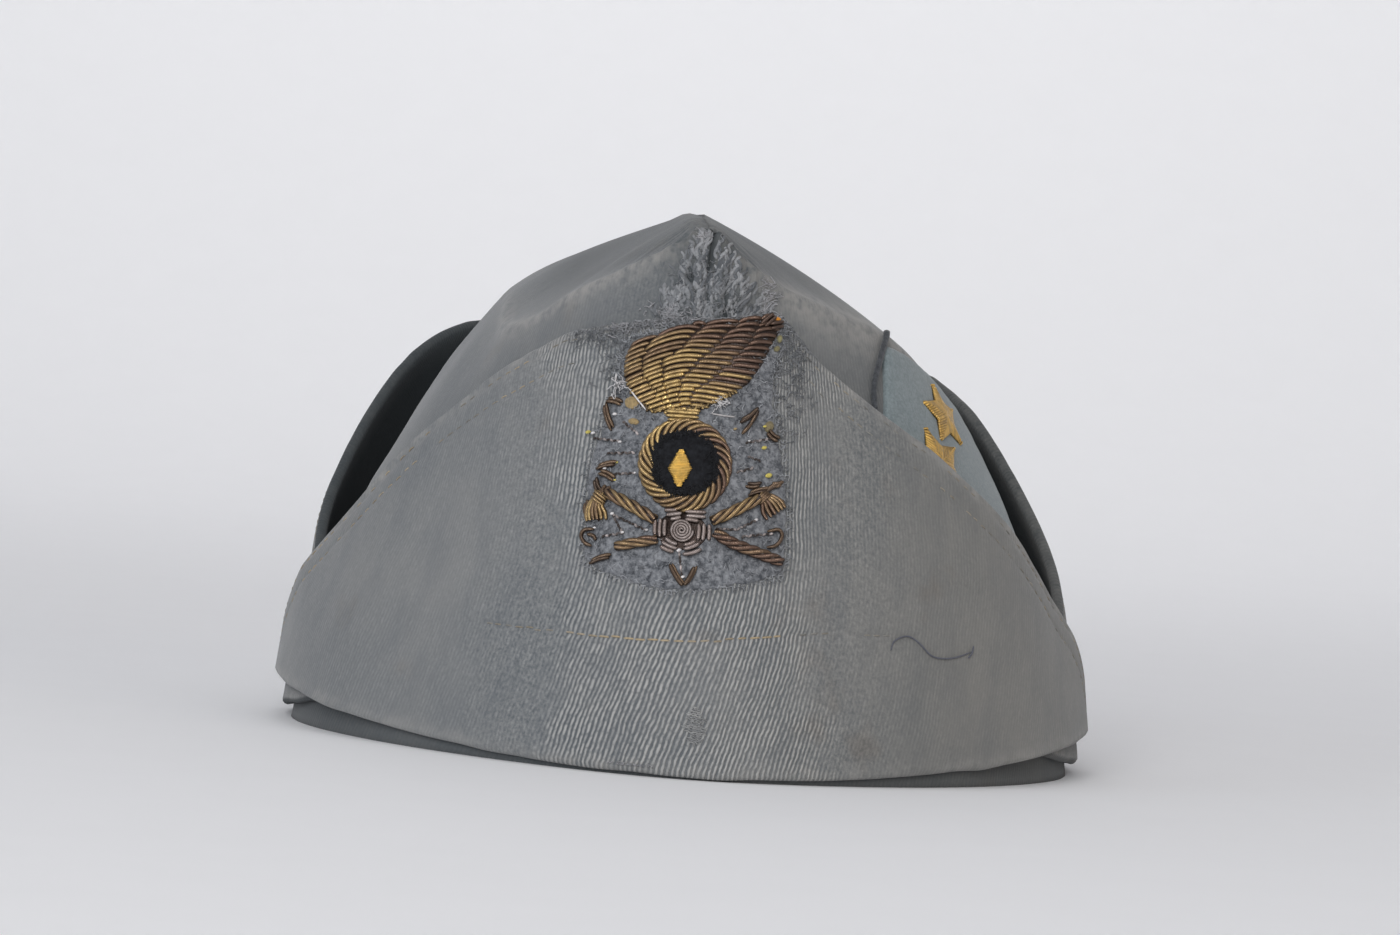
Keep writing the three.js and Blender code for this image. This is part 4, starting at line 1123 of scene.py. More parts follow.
RING_HEART = (-2.8, 60.7)
RING_MIDDLE, RING_CORE, RING_REACH = 7.6, 1.1, 1.3
RING_STRANDS, RING_STRAND, RING_STEPS = 27, 0.48, 19
RING_TWIST, RING_OVER = math.radians(50), math.radians(105)
DISC_HEART, DISC_RADIUS, DISC_STEPS = (-2.7, 60.9), 6.35, 120
DISC_FIBRES = 600
DISC_BLACK = (0.004, 0.004, 0.005)
MARK_HEART = (-3.5, 59.8)
MARK_HALF_WIDTH, MARK_HALF_HEIGHT, MARK_STITCHES = 1.9, 3.8, 25


def make_ring():
    heap = Heap()
    core = around(RING_HEART, RING_MIDDLE, np.linspace(0, TURN, 97))
    laid(heap, *core, 1.05, RING_CORE, SOOT, sides=10)
    share = np.linspace(-1, 1, RING_STEPS)
    for strand in range(RING_STRANDS):
        start = TURN * (strand + near(0, 0.06)) / RING_STRANDS
        reach = RING_MIDDLE + RING_REACH * np.sin(share * RING_OVER)
        place = around(RING_HEART, reach, start - share * RING_TWIST / 2)
        height = 1.0 + 1.15 * np.cos(share * RING_OVER)
        shine = 0.38 - 0.22 * math.cos(start) + near(0, 0.14)
        laid(heap, *place, height, RING_STRAND * rounded(RING_STEPS, 0.6), mixed(shine, BROWN, GOLD))
    heap.piece("badge_ring", bullion_wire, "bullion_gold", "badge_ring")


def make_disc():
    heap = Heap()
    turn = np.arange(DISC_STEPS) * TURN / DISC_STEPS
    reach = DISC_RADIUS + 0.3 * np.cos(4 * turn + 2.6) + 0.4 * noise(turn * 3, 3.5)
    reach = reach + 0.14 * near(size=DISC_STEPS)
    edge = np.stack(around(DISC_HEART, reach, turn), 1)
    pad(heap, edge, DISC_HEART, 1.95, -0.35, rough=0.2, steps=30, tint=DISC_BLACK)
    for _ in range(DISC_FIBRES):
        step = CHANCE.integers(DISC_STEPS)
        x, z = around(DISC_HEART, reach[step] * between(0.86, 0.98), turn[step])
        hair(heap, "disc", x, z, TURN / 4 - turn[step] + near(0, 1), DISC_BLACK)
    heap.piece("badge_disc", disc_felt, "disc_felt", "badge_disc")


def make_mark():
    """A lozenge of satin stitches."""
    heap = Heap()
    for lift in np.linspace(-MARK_HALF_HEIGHT, MARK_HALF_HEIGHT, MARK_STITCHES)[1:-1]:
        half = MARK_HALF_WIDTH * (1 - abs(lift) / MARK_HALF_HEIGHT) + 0.3
        run = np.linspace(-half, half, 9) + near(0, 0.06)
        z = MARK_HEART[1] + lift + 0.05 * run
        height = 1.85 + 0.35 * (1 - (run / (half + 0.2)) ** 2)
        tint = mixed(between(0, 0.3), GILT, GOLD)
        laid(heap, MARK_HEART[0] + run, z, height, 0.24 * rounded(9, 0.5), tint, sides=6)
    heap.piece("badge_mark", gilt_wire, "gilt_thread", "badge_mark")


# Badge: knot, arms, bindings and chevron

KNOT_HEART, KNOT_PAD = (-2.4, 47.9), (5, 3.8)
SPIRAL_TURNS, SPIRAL_REACH, SPIRAL_STEPS = 4, 2.2, 120
KNOT_BARS = [
    # the strands laid round the spiral: x, z at one end, x, z at the other, bow
    (-7.4, 49.5, -7.3, 46.5, 0.1), (-6.5, 49.8, -6.4, 46.2, 0.1), (-5.6, 49.7, -5.5, 46.5, 0.1),
    (0.7, 49.4, 0.7, 46.3, -0.1), (1.6, 49.5, 1.6, 46.2, -0.1), (2.6, 49.4, 2.7, 46.3, -0.1),
    (-5.9, 51.5, -3.5, 51.8, 0), (-5.5, 50.6, -2.6, 51.2, 0), (-4.7, 49.9, -2.7, 50.5, 0.1),
    (-2, 51.6, 1.9, 51.7, 0), (-1.8, 50.8, 1.9, 50.8, 0), (-1.9, 50.1, 0.6, 49.9, 0),
    (-5.3, 46.1, -3, 45.1, 0.2), (-6, 45.4, -3, 44.3, 0.2), (-6.2, 44.5, -3.6, 43.6, 0.15),
    (-1.8, 45.1, 0.3, 46.1, 0.2), (-1.8, 44.3, 1, 45.6, 0.2), (-1.9, 43.3, 1.5, 44.6, 0.25),
]
ARM_STRANDS, ARM_STRAND, ARM_HEIGHT, ARM_STEPS = 4, 0.52, 0.5, 41
ARMS = [
    # name, radius, pitch, gold share, places
    ("upper_left", 1.3, -12, 0.4, [(-7.4, 49.4), (-12.4, 51.9), (-17, 53.9)]),
    ("upper_right", 1.25, 12, 0.33, [(3, 50), (7.3, 52.5), (11.6, 55.1)]),
    ("lower_left", 1.15, -13, 0.15, [(-6.8, 45.7), (-10.6, 44.8), (-14.7, 43.6)]),
    ("lower_right", 1.25, 9.5, -0.15, [(3.6, 47.9), (7.4, 46), (12.1, 44.5), (17, 43)]),
]
TIED_HALF, BINDING_STEPS, BINDING_HEART, WRAPS = 0.75, 21, 12, (2, 4, 6)
BINDING_PAD = [(4, 0), (12, 1.2), (20, 0), (12, -1.2)]  # step along, place beside
BINDINGS = [
    # name, places from the tied end to the spread end, half spread, gold share
    ("left", [(-18.3, 54), (-19.3, 51), (-18.9, 48.4)], 1.9, 0.4),
    ("right", [(11.6, 55.8), (13.6, 54.6), (15.3, 52.4)], 2.1, 0.16),
]
CHEVRON_LIMBS = [[(-4.2, 41.2), (-3, 39.2), (-1.5, 37.3)], [(0.5, 41.1), (-0.2, 39.2), (-1.2, 37.4)]]


def make_knot():
    heap = Heap()
    turn = np.linspace(0, TURN, 65)[:-1]
    edge = np.array(KNOT_HEART) + np.stack([np.cos(turn), np.sin(turn)], 1) * KNOT_PAD
    pad(heap, edge, KNOT_HEART, 0.9, 0.3, tint=SOOT)
    turn = np.linspace(0, SPIRAL_TURNS * TURN, SPIRAL_STEPS)
    reach = np.linspace(0.12, SPIRAL_REACH, SPIRAL_STEPS)
    laid(heap, *around(KNOT_HEART, reach, turn), 1.9 - 0.1 * reach, 0.3, MAUVE)
    for ends in KNOT_BARS:
        tint = mixed(between(0.6, 1), BROWN, MAUVE)
        laid(heap, *bowed(*ends, BAR_STEPS), near(1.55, 0.05), 0.47 * rounded(BAR_STEPS), tint)
    heap.piece("badge_knot", bullion_wire, "bullion_bronze", "badge_knot")


def make_arms():
    """Ropes of strands twisted round a dark core, lying on the flap."""
    for name, radius, pitch, gold, places in ARMS:
        heap = Heap()
        place = curve(places, ARM_STEPS)
        laid(heap, *place.T, ARM_HEIGHT + radius, radius * 0.72, SOOT)
        path, out = flap_face(*place.T, np.full(ARM_STEPS, ARM_HEIGHT + radius))
        across = np.cross(unit(np.gradient(path, axis=0)), out)
        swell = (radius - ARM_STRAND) * (0.75 + 0.25 * rounded(ARM_STEPS))[:, None]
        for strand in range(ARM_STRANDS):
            turn = TURN * (strand / ARM_STRANDS + run_of(path, 0) / pitch)[:, None]
            line = path + swell * (across * np.cos(turn) + out * np.sin(turn))
            points, faces, weave = tube(line, ARM_STRAND * rounded(ARM_STEPS, 0.6), out, 7)
            heap.add(points, faces, weave=weave, tint=mixed(near(gold, 0.12), BROWN, GOLD))
        heap.piece(f"badge_arm_{name}", bullion_wire, "bullion_bronze", f"badge_arm_{name}")


def make_bindings():
    """Strands tied round near one end and spread out at the other."""
    share, cross = np.linspace(0, 1, BINDING_STEPS), np.linspace(-1, 1, 9)
    for name, places, spread, gold in BINDINGS:
        heap = Heap()
        place = curve(places, BINDING_STEPS)
        ahead = unit(np.gradient(place, axis=0))
        beside = np.stack([-ahead[:, 1], ahead[:, 0]], 1)
        for lane in np.linspace(-1, 1, 6):
            fan = lane * (TIED_HALF + (spread - TIED_HALF) * smooth(0.1, 0.8, share))
            line = place + beside * fan[:, None]
            tint = mixed(near(gold, 0.15), BROWN, GOLD)
            laid(heap, *line.T, 1.8 - 0.5 * lane ** 2, 0.44 * rounded(BINDING_STEPS, 0.6), tint)
        for wrap in WRAPS:
            line = place[wrap] + np.outer(cross * 1.3, beside[wrap]) + np.outer(0.35 * cross, ahead[wrap])
            laid(heap, *line.T, 2.35 - 1.1 * cross ** 2, 0.33, mixed(gold, BROWN, GOLD))
        corners = [place[step] + beside[step] * off for step, off in BINDING_PAD]
        pad(heap, loop(corners, 24), place[BINDING_HEART], 0.8, 0.5, tint=SOOT)
        heap.piece(f"badge_binding_{name}", bullion_wire, "bullion_bronze", f"badge_binding_{name}")


def make_chevron():
    heap = Heap()
    for limb in CHEVRON_LIMBS:
        x, z = curve(limb, 15).T
        laid(heap, x, z, 1.15, 0.5 * rounded(15), mixed(0.35, SOOT, BRONZE))
        laid(heap, x + 0.45, z + 0.2, 1.05, 0.3 * rounded(15), mixed(0.8, SOOT, BRONZE))
    heap.piece("badge_chevron", bullion_wire, "bullion_bronze", "badge_chevron")


# Badge: what is left of its lost threads

BROKEN_BARS = [
    # x, z at one end, x, z at the other
    (-18.8, 72.4, -15.9, 71.9), (-19.2, 71.5, -17.3, 66.7), (-19.7, 58.8, -16.1, 60),
    (-19.2, 58, -16.2, 56.8), (-19.6, 40.2, -15.8, 41.8), (7.1, 70.2, 10.1, 72.8), (7.7, 68, 10.2, 72.2),
    (12.6, 68.6, 14.8, 67), (9.2, 57.8, 11.9, 58.1), (14, 58.1, 16.1, 58.6), (-19.9, 56.6, -18.6, 53.8),
    (-17.9, 55.2, -18.5, 53.4), (-16.9, 54.9, -18.1, 53.6), (9.9, 56, 13.8, 57.1), (13, 56.6, 15.8, 58.4),
    (-21.2, 52, -21, 49.6), (14.6, 55.6, 16.6, 54.6),
]
BROKEN_LOOPS = [
    [(-19.4, 46.7), (-21.2, 46.4), (-21.8, 45.2), (-21, 43.9), (-19.6, 43.4)],
    [(13.9, 48.9), (16, 49.4), (16.8, 48.4), (16.4, 47), (15.4, 46.1), (14, 45.8)],
    [(-20.6, 45.6), (-19.4, 45.4), (-18.8, 44.6)],
]
THREAD_CHAINS = [
    # x, z at one end, x, z at the other
    (-15.5, 68.4, -12.2, 66.1), (-21.1, 64.6, -15.7, 64.4), (-18.1, 61.8, -12.6, 62.4),
    (-17.7, 57.7, -12.2, 58.4), (-17.8, 45.4, -13.8, 46.5), (-16, 49.9, -9.1, 47.4), (-16, 49.9, -13.8, 46.5),
    (8.4, 66, 13.4, 67.2), (7.1, 60.1, 10.3, 61.2), (3.9, 48.8, 8, 48.9), (8, 48.9, 11.6, 51),
    (9, 47.6, 15.1, 48.6), (-2.7, 44.2, -1.8, 39.2), (9, 63.4, 11.6, 62.6),
]
CHAIN_PITCH, CHAIN_PALE = 0.62, (0.5, 0.44, 0.43)
CHAIN_STITCH = table("share slant height radius", [
    (0.1, -1, 0.9, 0.18), (0.5, 0, 1.12, 0.27), (0.9, 1, 0.9, 0.18),
])
CHAIN_SHARES, CHAIN_ODDS = [0.03, 0.2, 0.5, 0.9], [0.4, 0.25, 0.25, 0.1]
KNOTS = [
    # x, z, radius, colour
    (-22.2, 65.7, 0.5, YELLOW), (11.9, 69.5, 0.35, YELLOW), (12.1, 65.3, 0.5, YELLOW),
    (13.4, 59.9, 0.65, YELLOW), (-21.2, 65.6, 0.4, CREAM), (-17.2, 69.7, 0.4, CREAM),
    (-15.7, 64.3, 0.35, CREAM), (-12.4, 58.4, 0.35, CREAM), (-16.1, 50.1, 0.4, CREAM),
    (-13.9, 46.6, 0.42, CREAM), (-18.3, 58.8, 0.35, CREAM), (-19.4, 47, 0.3, CREAM),
    (-9.2, 47.5, 0.35, CREAM), (9.1, 66.4, 0.3, CREAM), (11.6, 51.1, 0.35, CREAM), (-2.7, 44.1, 0.5, CREAM),
    (-1.6, 39, 0.4, CREAM), (-16, 60.2, 0.28, YELLOW), (-16.1, 56.7, 0.28, YELLOW), (12.6, 57.6, 0.3, CREAM),
    (6.2, 68.6, 0.35, OCHRE),
]
LINT, LINT_RADIUS, THREAD_RADIUS = (0.095, 0.1, 0.125), 0.16, 0.17
LOOSE_THREADS = [
    # places as x, z and height, colour, radius
    ([(-14.4, 74.8, 1.2), (-12.7, 72.9, 1.6), (-10.9, 70.9, 1.3)], CREAM, THREAD_RADIUS),
    ([(1.6, 71.2, 1.2), (3.6, 71, 1.2), (5.9, 70.9, 1.1)], (0.4, 0.38, 0.38), THREAD_RADIUS),
    ([(40.8, 27.1, 0.3), (41.4, 29, 0.4), (44, 30, 0.45), (46.6, 28.7, 0.35), (49.1, 26.4, 0.4),
      (51.6, 25.8, 0.45), (54.6, 26.1, 0.4), (58, 27.3, 0.3)], LINT, LINT_RADIUS),
    ([(57.2, 26, 0.3), (57.9, 27, 0.4), (58.2, 28.4, 0.3)], LINT, LINT_RADIUS),
]
SCRAPS = [
    # place, half width and height, colour
    ((-14.1, 72.3), (1.4, 1.25), OCHRE),
    ((-13.4, 68.6), (1.05, 0.65), OCHRE),
    ((12.7, 91.1), (0.85, 0.55), (0.62, 0.25, 0.03)),
    ((13.6, 87.2), (0.45, 0.8), (0.2, 0.18, 0.09)),
    ((13.2, 85.2), (0.5, 0.6), (0.17, 0.15, 0.08)),
    ((12.9, 69.6), (0.8, 1.1), (0.17, 0.14, 0.08)),
]


def make_broken_wire():
    heap = Heap()
    for ends in BROKEN_BARS:
        x, z = bowed(*ends, 0.25 * CHANCE.choice(SIDES), 11)
        for lane in (-0.32, 0.32):
            tint = mixed(between(0.1, 0.7), SOOT, BRONZE)
            laid(heap, x + lane * 0.6, z + lane, 1.1, 0.42 * rounded(11), tint)
    for places in BROKEN_LOOPS:
        laid(heap, *curve(places, 31).T, 1.15, 0.42 * rounded(31), mixed(0.45, SOOT, BRONZE))
    heap.piece("badge_broken_wire", bullion_wire, "bullion_bronze")


def make_loose_thread():
    heap = Heap()
    for x0, z0, x1, z1 in THREAD_CHAINS:
        count = int(np.hypot(x1 - x0, z1 - z0) / CHAIN_PITCH)
        for step in range(count):
            share = (step + CHAIN_STITCH["share"]) / count
            sway = 0.16 * (-1) ** step + near(0, 0.05)
            x = x0 + (x1 - x0) * share
            z = z0 + (z1 - z0) * share + sway * CHAIN_STITCH["slant"]
            tint = mixed(CHANCE.choice(CHAIN_SHARES, p=CHAIN_ODDS), SOOT, CHAIN_PALE)
            laid(heap, x, z, CHAIN_STITCH["height"], CHAIN_STITCH["radius"], tint, sides=6)
    share = np.linspace(-1, 1, 7)
    for x, z, radius, tint in KNOTS:
        girth = radius * 0.75 * np.sqrt(np.maximum(1 - share ** 2, 0.05))
        laid(heap, x + radius * share, z + 0.3 * radius * share, 1.0, girth, tint, sides=7)
    for places, tint, radius in LOOSE_THREADS:
        laid(heap, *curve(places, 25).T, radius * rounded(25, 0.6), tint, sides=6)
    turn = np.arange(24) * TURN / 24
    for (x, z), (wide, tall), tint in SCRAPS:
        edge = np.stack([x + wide * np.cos(turn), z + tall * np.sin(turn)], 1)
        pad(heap, edge, (x, z), 0.9, 0.5, rough=0.15, steps=6, tint=tint)
    heap.piece("badge_loose_thread", sewing_thread, "badge_felt")


for make in (make_backing, make_felt_hairs, make_flame, make_ring, make_disc, make_mark, make_knot, make_arms,
             make_bindings, make_chevron, make_broken_wire, make_loose_thread):
    make()

# Side patch, piping and stars

PATCH_ROWS = table("low_at low high_at high", [
    (0.226, 66, 0.265, 88.5), (0.268, 61.5, 0.303, 87), (0.315, 54, 0.345, 84.5), (0.360, 45.5, 0.388, 82),
    (0.405, 38, 0.430, 79.5), (0.450, 33, 0.470, 77.5),
])
PATCH_THICK, PATCH_COLUMNS, PATCH_STEPS = 1.0, 61, 49
PIPING_PLACES = [(0.220, 66), (0.226, 74), (0.234, 80), (0.252, 85.5), (0.276, 91)]
PIPING_RADIUS, PIPING_LIFT, PIPING_STEPS = 0.68, 0.95, 61
STARS = [
    # name, at, height, reach, turn in degrees
    ("fore", 0.296, 64.8, 7.8, 8),
    ("aft", 0.341, 74.4, 7.4, -6),
]
STAR_WAIST, STAR_STRETCH, STAR_AT_STEP = 0.5, 1.45, 0.004
STAR_CORNERS, STAR_STITCHES = 10, 9
# the star stitches' gilt as painted light: the shaded one and the one with a painted glint
STAR_SHADED_GILT, STAR_GLINT_GILT = mixed(0.4, BRONZE, GILT), mixed(0.75, GOLD, GILT)


def make_patch():
    heap = Heap()
    last = len(PATCH_ROWS["low"]) - 1
    step = np.linspace(0, last, PATCH_COLUMNS)[:, None]
    low_at, low, high_at, high = (np.interp(step, range(last + 1), column) for column in PATCH_ROWS.values())
    share = np.linspace(0, 1, PATCH_STEPS)[None, :]
    face, out = crown_outside(RIGHT, low_at + (high_at - low_at) * share, low + (high - low) * share)
    edge = np.minimum(np.minimum(share, 1 - share) * 22, np.minimum(step, last - step) * 5)
    lift = PATCH_THICK * (0.4 + 0.6 * np.minimum(1, edge) ** 0.5) + LAYER_GAP
    lift = lift + 0.08 * noise(step * 5, share * 20)
    top, out = (face + out * lift[..., None]).reshape(-1, 3), out.reshape(-1, 3)
    faces = grid_faces(PATCH_COLUMNS, PATCH_STEPS).tolist()
    heap.add(*shell(top, out, faces, PATCH_THICK + LAYER_GAP))
    heap.piece("rank_patch", patch_felt, "patch_cloth", "rank_patch")


def make_piping():
    heap = Heap()
    path, out = crown_outside(RIGHT, *curve(PIPING_PLACES, PIPING_STEPS).T)
    radius = PIPING_RADIUS + 0.06 * noise(np.arange(PIPING_STEPS) / 2, 0.5)
    heap.add(*tube(path + out * PIPING_LIFT, radius, out, 12)[:2])
    heap.piece("rank_piping", piping_felt, "piping_cloth", "rank_piping")


def star_face(at, height):
    """A face over the patch round one place: u runs along the cloth, v up it, both in millimetres."""
    here, step_at, step_up = (crown_outside(RIGHT, np.array(a), np.array(h))[0] for a, h in
                              ((at, height), (at + STAR_AT_STEP, height), (at, height + 1)))
    along, up = (step_at - here) / STAR_AT_STEP, step_up - here
    slant = np.dot(up, along) / np.dot(along, along)
    climb = np.linalg.norm(up - slant * along)

    def face(u, v, lift=0.0):
        rise = v / climb
        place = at + STAR_STRETCH * u / np.linalg.norm(along) - slant * rise
        point, out = crown_outside(RIGHT, place, height + rise)
        return point + out * (np.asarray(lift, float)[..., None] + PATCH_THICK + LAYER_GAP), out

    return face


def make_stars():
    """Each star is a pad under stitches that run from the middle of each point to its two edges."""
    run = np.linspace(-0.06, 1.04, 9)
    for name, at, height, reach, turn in STARS:
        heap = Heap()
        face = star_face(at, height)
        corner = np.arange(STAR_CORNERS)
        turns = np.radians(90 + turn + 360 / STAR_CORNERS * corner)
        spokes = np.where(corner % 2 == 0, reach, reach * STAR_WAIST)
        corners = np.stack([spokes * np.cos(turns), spokes * np.sin(turns)], 1)
        edge = np.concatenate([corners[k - 1] + np.outer(np.arange(6) / 6, corners[k] - corners[k - 1])
                               for k in corner])
        pad(heap, edge * 0.96, (0, 0), 0.35, 0.45, steps=8, face=face, tint=mixed(0.2, SOOT, GOLD))
        for k in corner[::2]:
            tip = corners[k]
            for valley in (corners[k - 1], corners[k + 1]):
                faces_down = unit(valley - tip * STAR_WAIST)[1] < 0.2
                for share in np.linspace(0.03, 0.93, STAR_STITCHES):
                    start, end = tip * share, valley + (tip - valley) * share
                    line = start + np.outer(run, end - start)
                    lift = (0.95 - 0.45 * share) - 0.5 * run ** 2
                    # Painted highlight: stitches on the downward-facing side of each point get the glinting
                    # gilt, the rest get the shaded gilt
                    shine = near(0.85 if faces_down else 0.45, 0.16)
                    laid(heap, *line.T, lift, 0.32, mixed(shine, STAR_SHADED_GILT, STAR_GLINT_GILT), face=face, sides=6)
        heap.piece(f"rank_star_{name}", gilt_wire, "gilt_star", f"rank_star_{name}")


make_patch()
make_piping()
make_stars()

# Stitching

SEWING_OCHRE, SEWING_GREY = (0.38, 0.3, 0.19), (0.19, 0.185, 0.17)
PATCHY_RUN = 14.0
STITCH_LENGTH, LINE_PITCH, EDGE_PITCH = 2.1, 2.55, 2.7
STITCH_DIP = np.array([-0.22, 0.04, 0.1, 0.1, 0.04, -0.22])
LINE_PARTS = [
    # from x, to x, radius, ochre share, share of stitches lost
    (-44, -24, 0.15, 0.2, 0.4),
    (-24, 20, 0.2, 0.85, 0.04),
    (20, 42, 0.16, 0.1, 0.3),
]
EDGE_RADIUS = 0.13
EDGE_OCHRE = {LEFT: 0.4, RIGHT: 0.12}


def stitched(heap, path, out, pitch, radius, ochre, lost):
    """Stitches along a path, each dipping into the cloth at its ends, some ochre and some greyed."""
    run = run_of(path, 0)
    for start in np.arange(0, run[-1] - STITCH_LENGTH, pitch):
        if CHANCE.random() < lost:
            continue
        at = start + np.linspace(0, STITCH_LENGTH, len(STITCH_DIP)) * between(0.8, 1.05) + near(0, 0.1)
        line, way = (np.stack([np.interp(at, run, column) for column in grid.T], 1) for grid in (path, out))
        across = np.cross(way, unit(np.gradient(line, axis=0)))
        line = line + way * STITCH_DIP[:, None] + across * near(0, 0.09)
        points, faces, _ = tube(line, radius, way, 6)
        share = ochre + 0.5 * float(noise(start / PATCHY_RUN, 3.5)) + near(0, 0.1)
        heap.add(points, faces, tint=mixed(share, SEWING_GREY, SEWING_OCHRE) * between(0.75, 1.15))


def make_stitching():
    heap = Heap()
    x = np.linspace(LINE_PARTS[0][0], LINE_PARTS[-1][1], 240)
    path, out = flap_face(x, stitch_height(x))
    for low, high, radius, ochre, lost in LINE_PARTS:
        shown = (x >= low) & (x < high)
        stitched(heap, path[shown], out[shown], LINE_PITCH, radius, ochre, lost)
    for side in SIDES:
        bands = [
            (FLAP_EDGES, flap_lift, 0.115, FLAP_END - 0.04, EDGE_OCHRE[side], 0.25),
            (CURTAIN_EDGES, curtain_lift, CURTAIN_START + 0.02, 1, 0.1, 0.1),
        ]
        for drop in EDGE_STITCH_DROPS:
            for edges, lift, start, end, ochre, lost in bands:
                at = np.linspace(start, end, 300)
                path, out = band_outside(edges, lift, side, at, edge_top(edges, side, at) - drop)
                stitched(heap, path, out, EDGE_PITCH, EDGE_RADIUS, ochre, lost)
    heap.piece("sewing_thread", sewing_thread, "flap_cloth")


make_stitching()

# Loose wool: the rubbed peak, the frayed edges and the darned spot

WOOL_DARK, WOOL_MID, WOOL_PALE = (0.075, 0.082, 0.091), (0.15, 0.157, 0.166), (0.245, 0.252, 0.262)
FOLD_PALE, FUZZ_PALE = (0.27, 0.275, 0.285), (0.34, 0.335, 0.35)
PEAK_WRINKLES, PEAK_HAIRS = 620, 240
PEAK_EDGES = table("z left right", [
    (90, -12, 13), (93, -11.5, 12), (99, -9.4, 7.4), (104, -6.4, 3), (109, -3, 0.4),
])
PEAK_FADE = 4
WOOL_ACROSS, WOOL_UP = (-13, 14), (89, 106.5)
SLIT_CLEAR = 0.9
PEAK_FUZZ = [
    # how many, x, its spread, lowest and highest z
    (16, -2.2, 0.4, 106.4, 107.8), (40, 11.2, 0.6, 92.5, 99), (30, -9, 2.6, 90.5, 92.5),
]
FLAP_TOP_HAIRS = 330
FLAP_TOP = table("x z", [(-20, 86), (-14, 87.6), (-6, 89.2), (0, 90), (12, 91.6)])
EDGE_FUZZ = [
    # how many, x, its spread, z, its spread
    (150, 17, 1.6, 84, 3.5), (90, 17.5, 2, 75, 5), (150, -21, 3.2, 85.4, 0.8), (60, -19, 1, 80, 3),
]
DARN_ROWS, DARN_LOW, DARN_PITCH, DARN_X, DARN_HALF = 19, 6.9, 0.4, 3, 2.2
DARN_DARK, DARN_PALE = (0.17, 0.175, 0.18), (0.29, 0.29, 0.287)
FRAY_HAIRS, FRAY_X, FRAY_SPREAD, FRAY_Z = 22, -9.5, 1.6, 2.4


def wrinkle(heap, x, z, tint):
    """A wavy fold of rubbed wool standing on the peak, sunk into it at both ends."""
    share = np.linspace(0, 1, BAR_STEPS)
    sway = between(0.2, 0.5) * np.sin(between(0, 6) + between(4, 8) * share)
    length, radius = between(1.6, 4), between(0.24, 0.46)
    u = x + (0.04 * (x + 2) + near(0, 0.12)) * length * share + sway
    height = 0.25 * np.sin(np.pi * share) - 0.2
    laid(heap, u, z + length * share, height, radius * rounded(BAR_STEPS, 0.5), tint, face=peak_face, sides=7)


def add_peak_wool(heap):
    for count in (PEAK_WRINKLES, PEAK_HAIRS):
        for _ in range(count):
            x, z = between(*WOOL_ACROSS), between(*WOOL_UP)
            left, right = (np.interp(z, PEAK_EDGES["z"], PEAK_EDGES[name]) for name in ("left", "right"))
            near_slit = abs(x - SLIT_X) < SLIT_CLEAR and z > SLIT_LOW - 3
            if near_slit or CHANCE.random() > min(x - left, right - x) / PEAK_FADE:
                continue
            tint = mixed(CHANCE.random(), WOOL_DARK, FOLD_PALE)
            if count == PEAK_WRINKLES:
                wrinkle(heap, x, z, tint)
            else:
                hair(heap, "peak", x, z, (0, 0.8), tint, peak_face)
    for count, x, spread, low, high in PEAK_FUZZ:
        for _ in range(count):
            hair(heap, "peak_fuzz", near(x, spread), between(low, high), (0, 0.9), FUZZ_PALE, peak_face)


def add_edge_wool(heap):
    for _ in range(FLAP_TOP_HAIRS):
        x = between(FLAP_TOP["x"][0], FLAP_TOP["x"][-1])
        z = np.interp(x, FLAP_TOP["x"], FLAP_TOP["z"]) + near(0, 0.5)
        hair(heap, "flap_top", x, z, (0.4, 0.8), mixed(CHANCE.random() ** 1.5, WOOL_MID, FUZZ_PALE))
    for count, x, spread_x, z, spread_z in EDGE_FUZZ:
        for _ in range(count):
            hair(heap, "flap_edge", near(x, spread_x), near(z, spread_z), None, [WOOL_DARK, WOOL_PALE])


def add_darn(heap):
    for row in range(DARN_ROWS):
        half = DARN_HALF * math.sqrt(1 - (2 * row / (DARN_ROWS - 1) - 1) ** 2) + 0.5
        run = DARN_X + near(0, 0.3) + np.linspace(-half, half, 9) * between(0.45, 0.95)
        wave = 0.14 * np.sin(np.arange(9) * 2.2 + row) + 0.05 * near(size=9)
        z = DARN_LOW + DARN_PITCH * row - 0.12 * (run - DARN_X) + wave
        laid(heap, run, z, 0.1, 0.17 * rounded(9), mixed(CHANCE.random(), DARN_DARK, DARN_PALE), sides=5)


def make_wool():
    heap = Heap()
    add_peak_wool(heap)
    add_edge_wool(heap)
    add_darn(heap)
    for _ in range(FRAY_HAIRS):
        hair(heap, "hem", near(FRAY_X, FRAY_SPREAD), FRAY_Z, (math.pi, 0.6), [WOOL_MID, FUZZ_PALE])
    heap.piece("loose_wool", sewing_thread, "crown_cloth")


make_wool()

# Camera, floor and lights

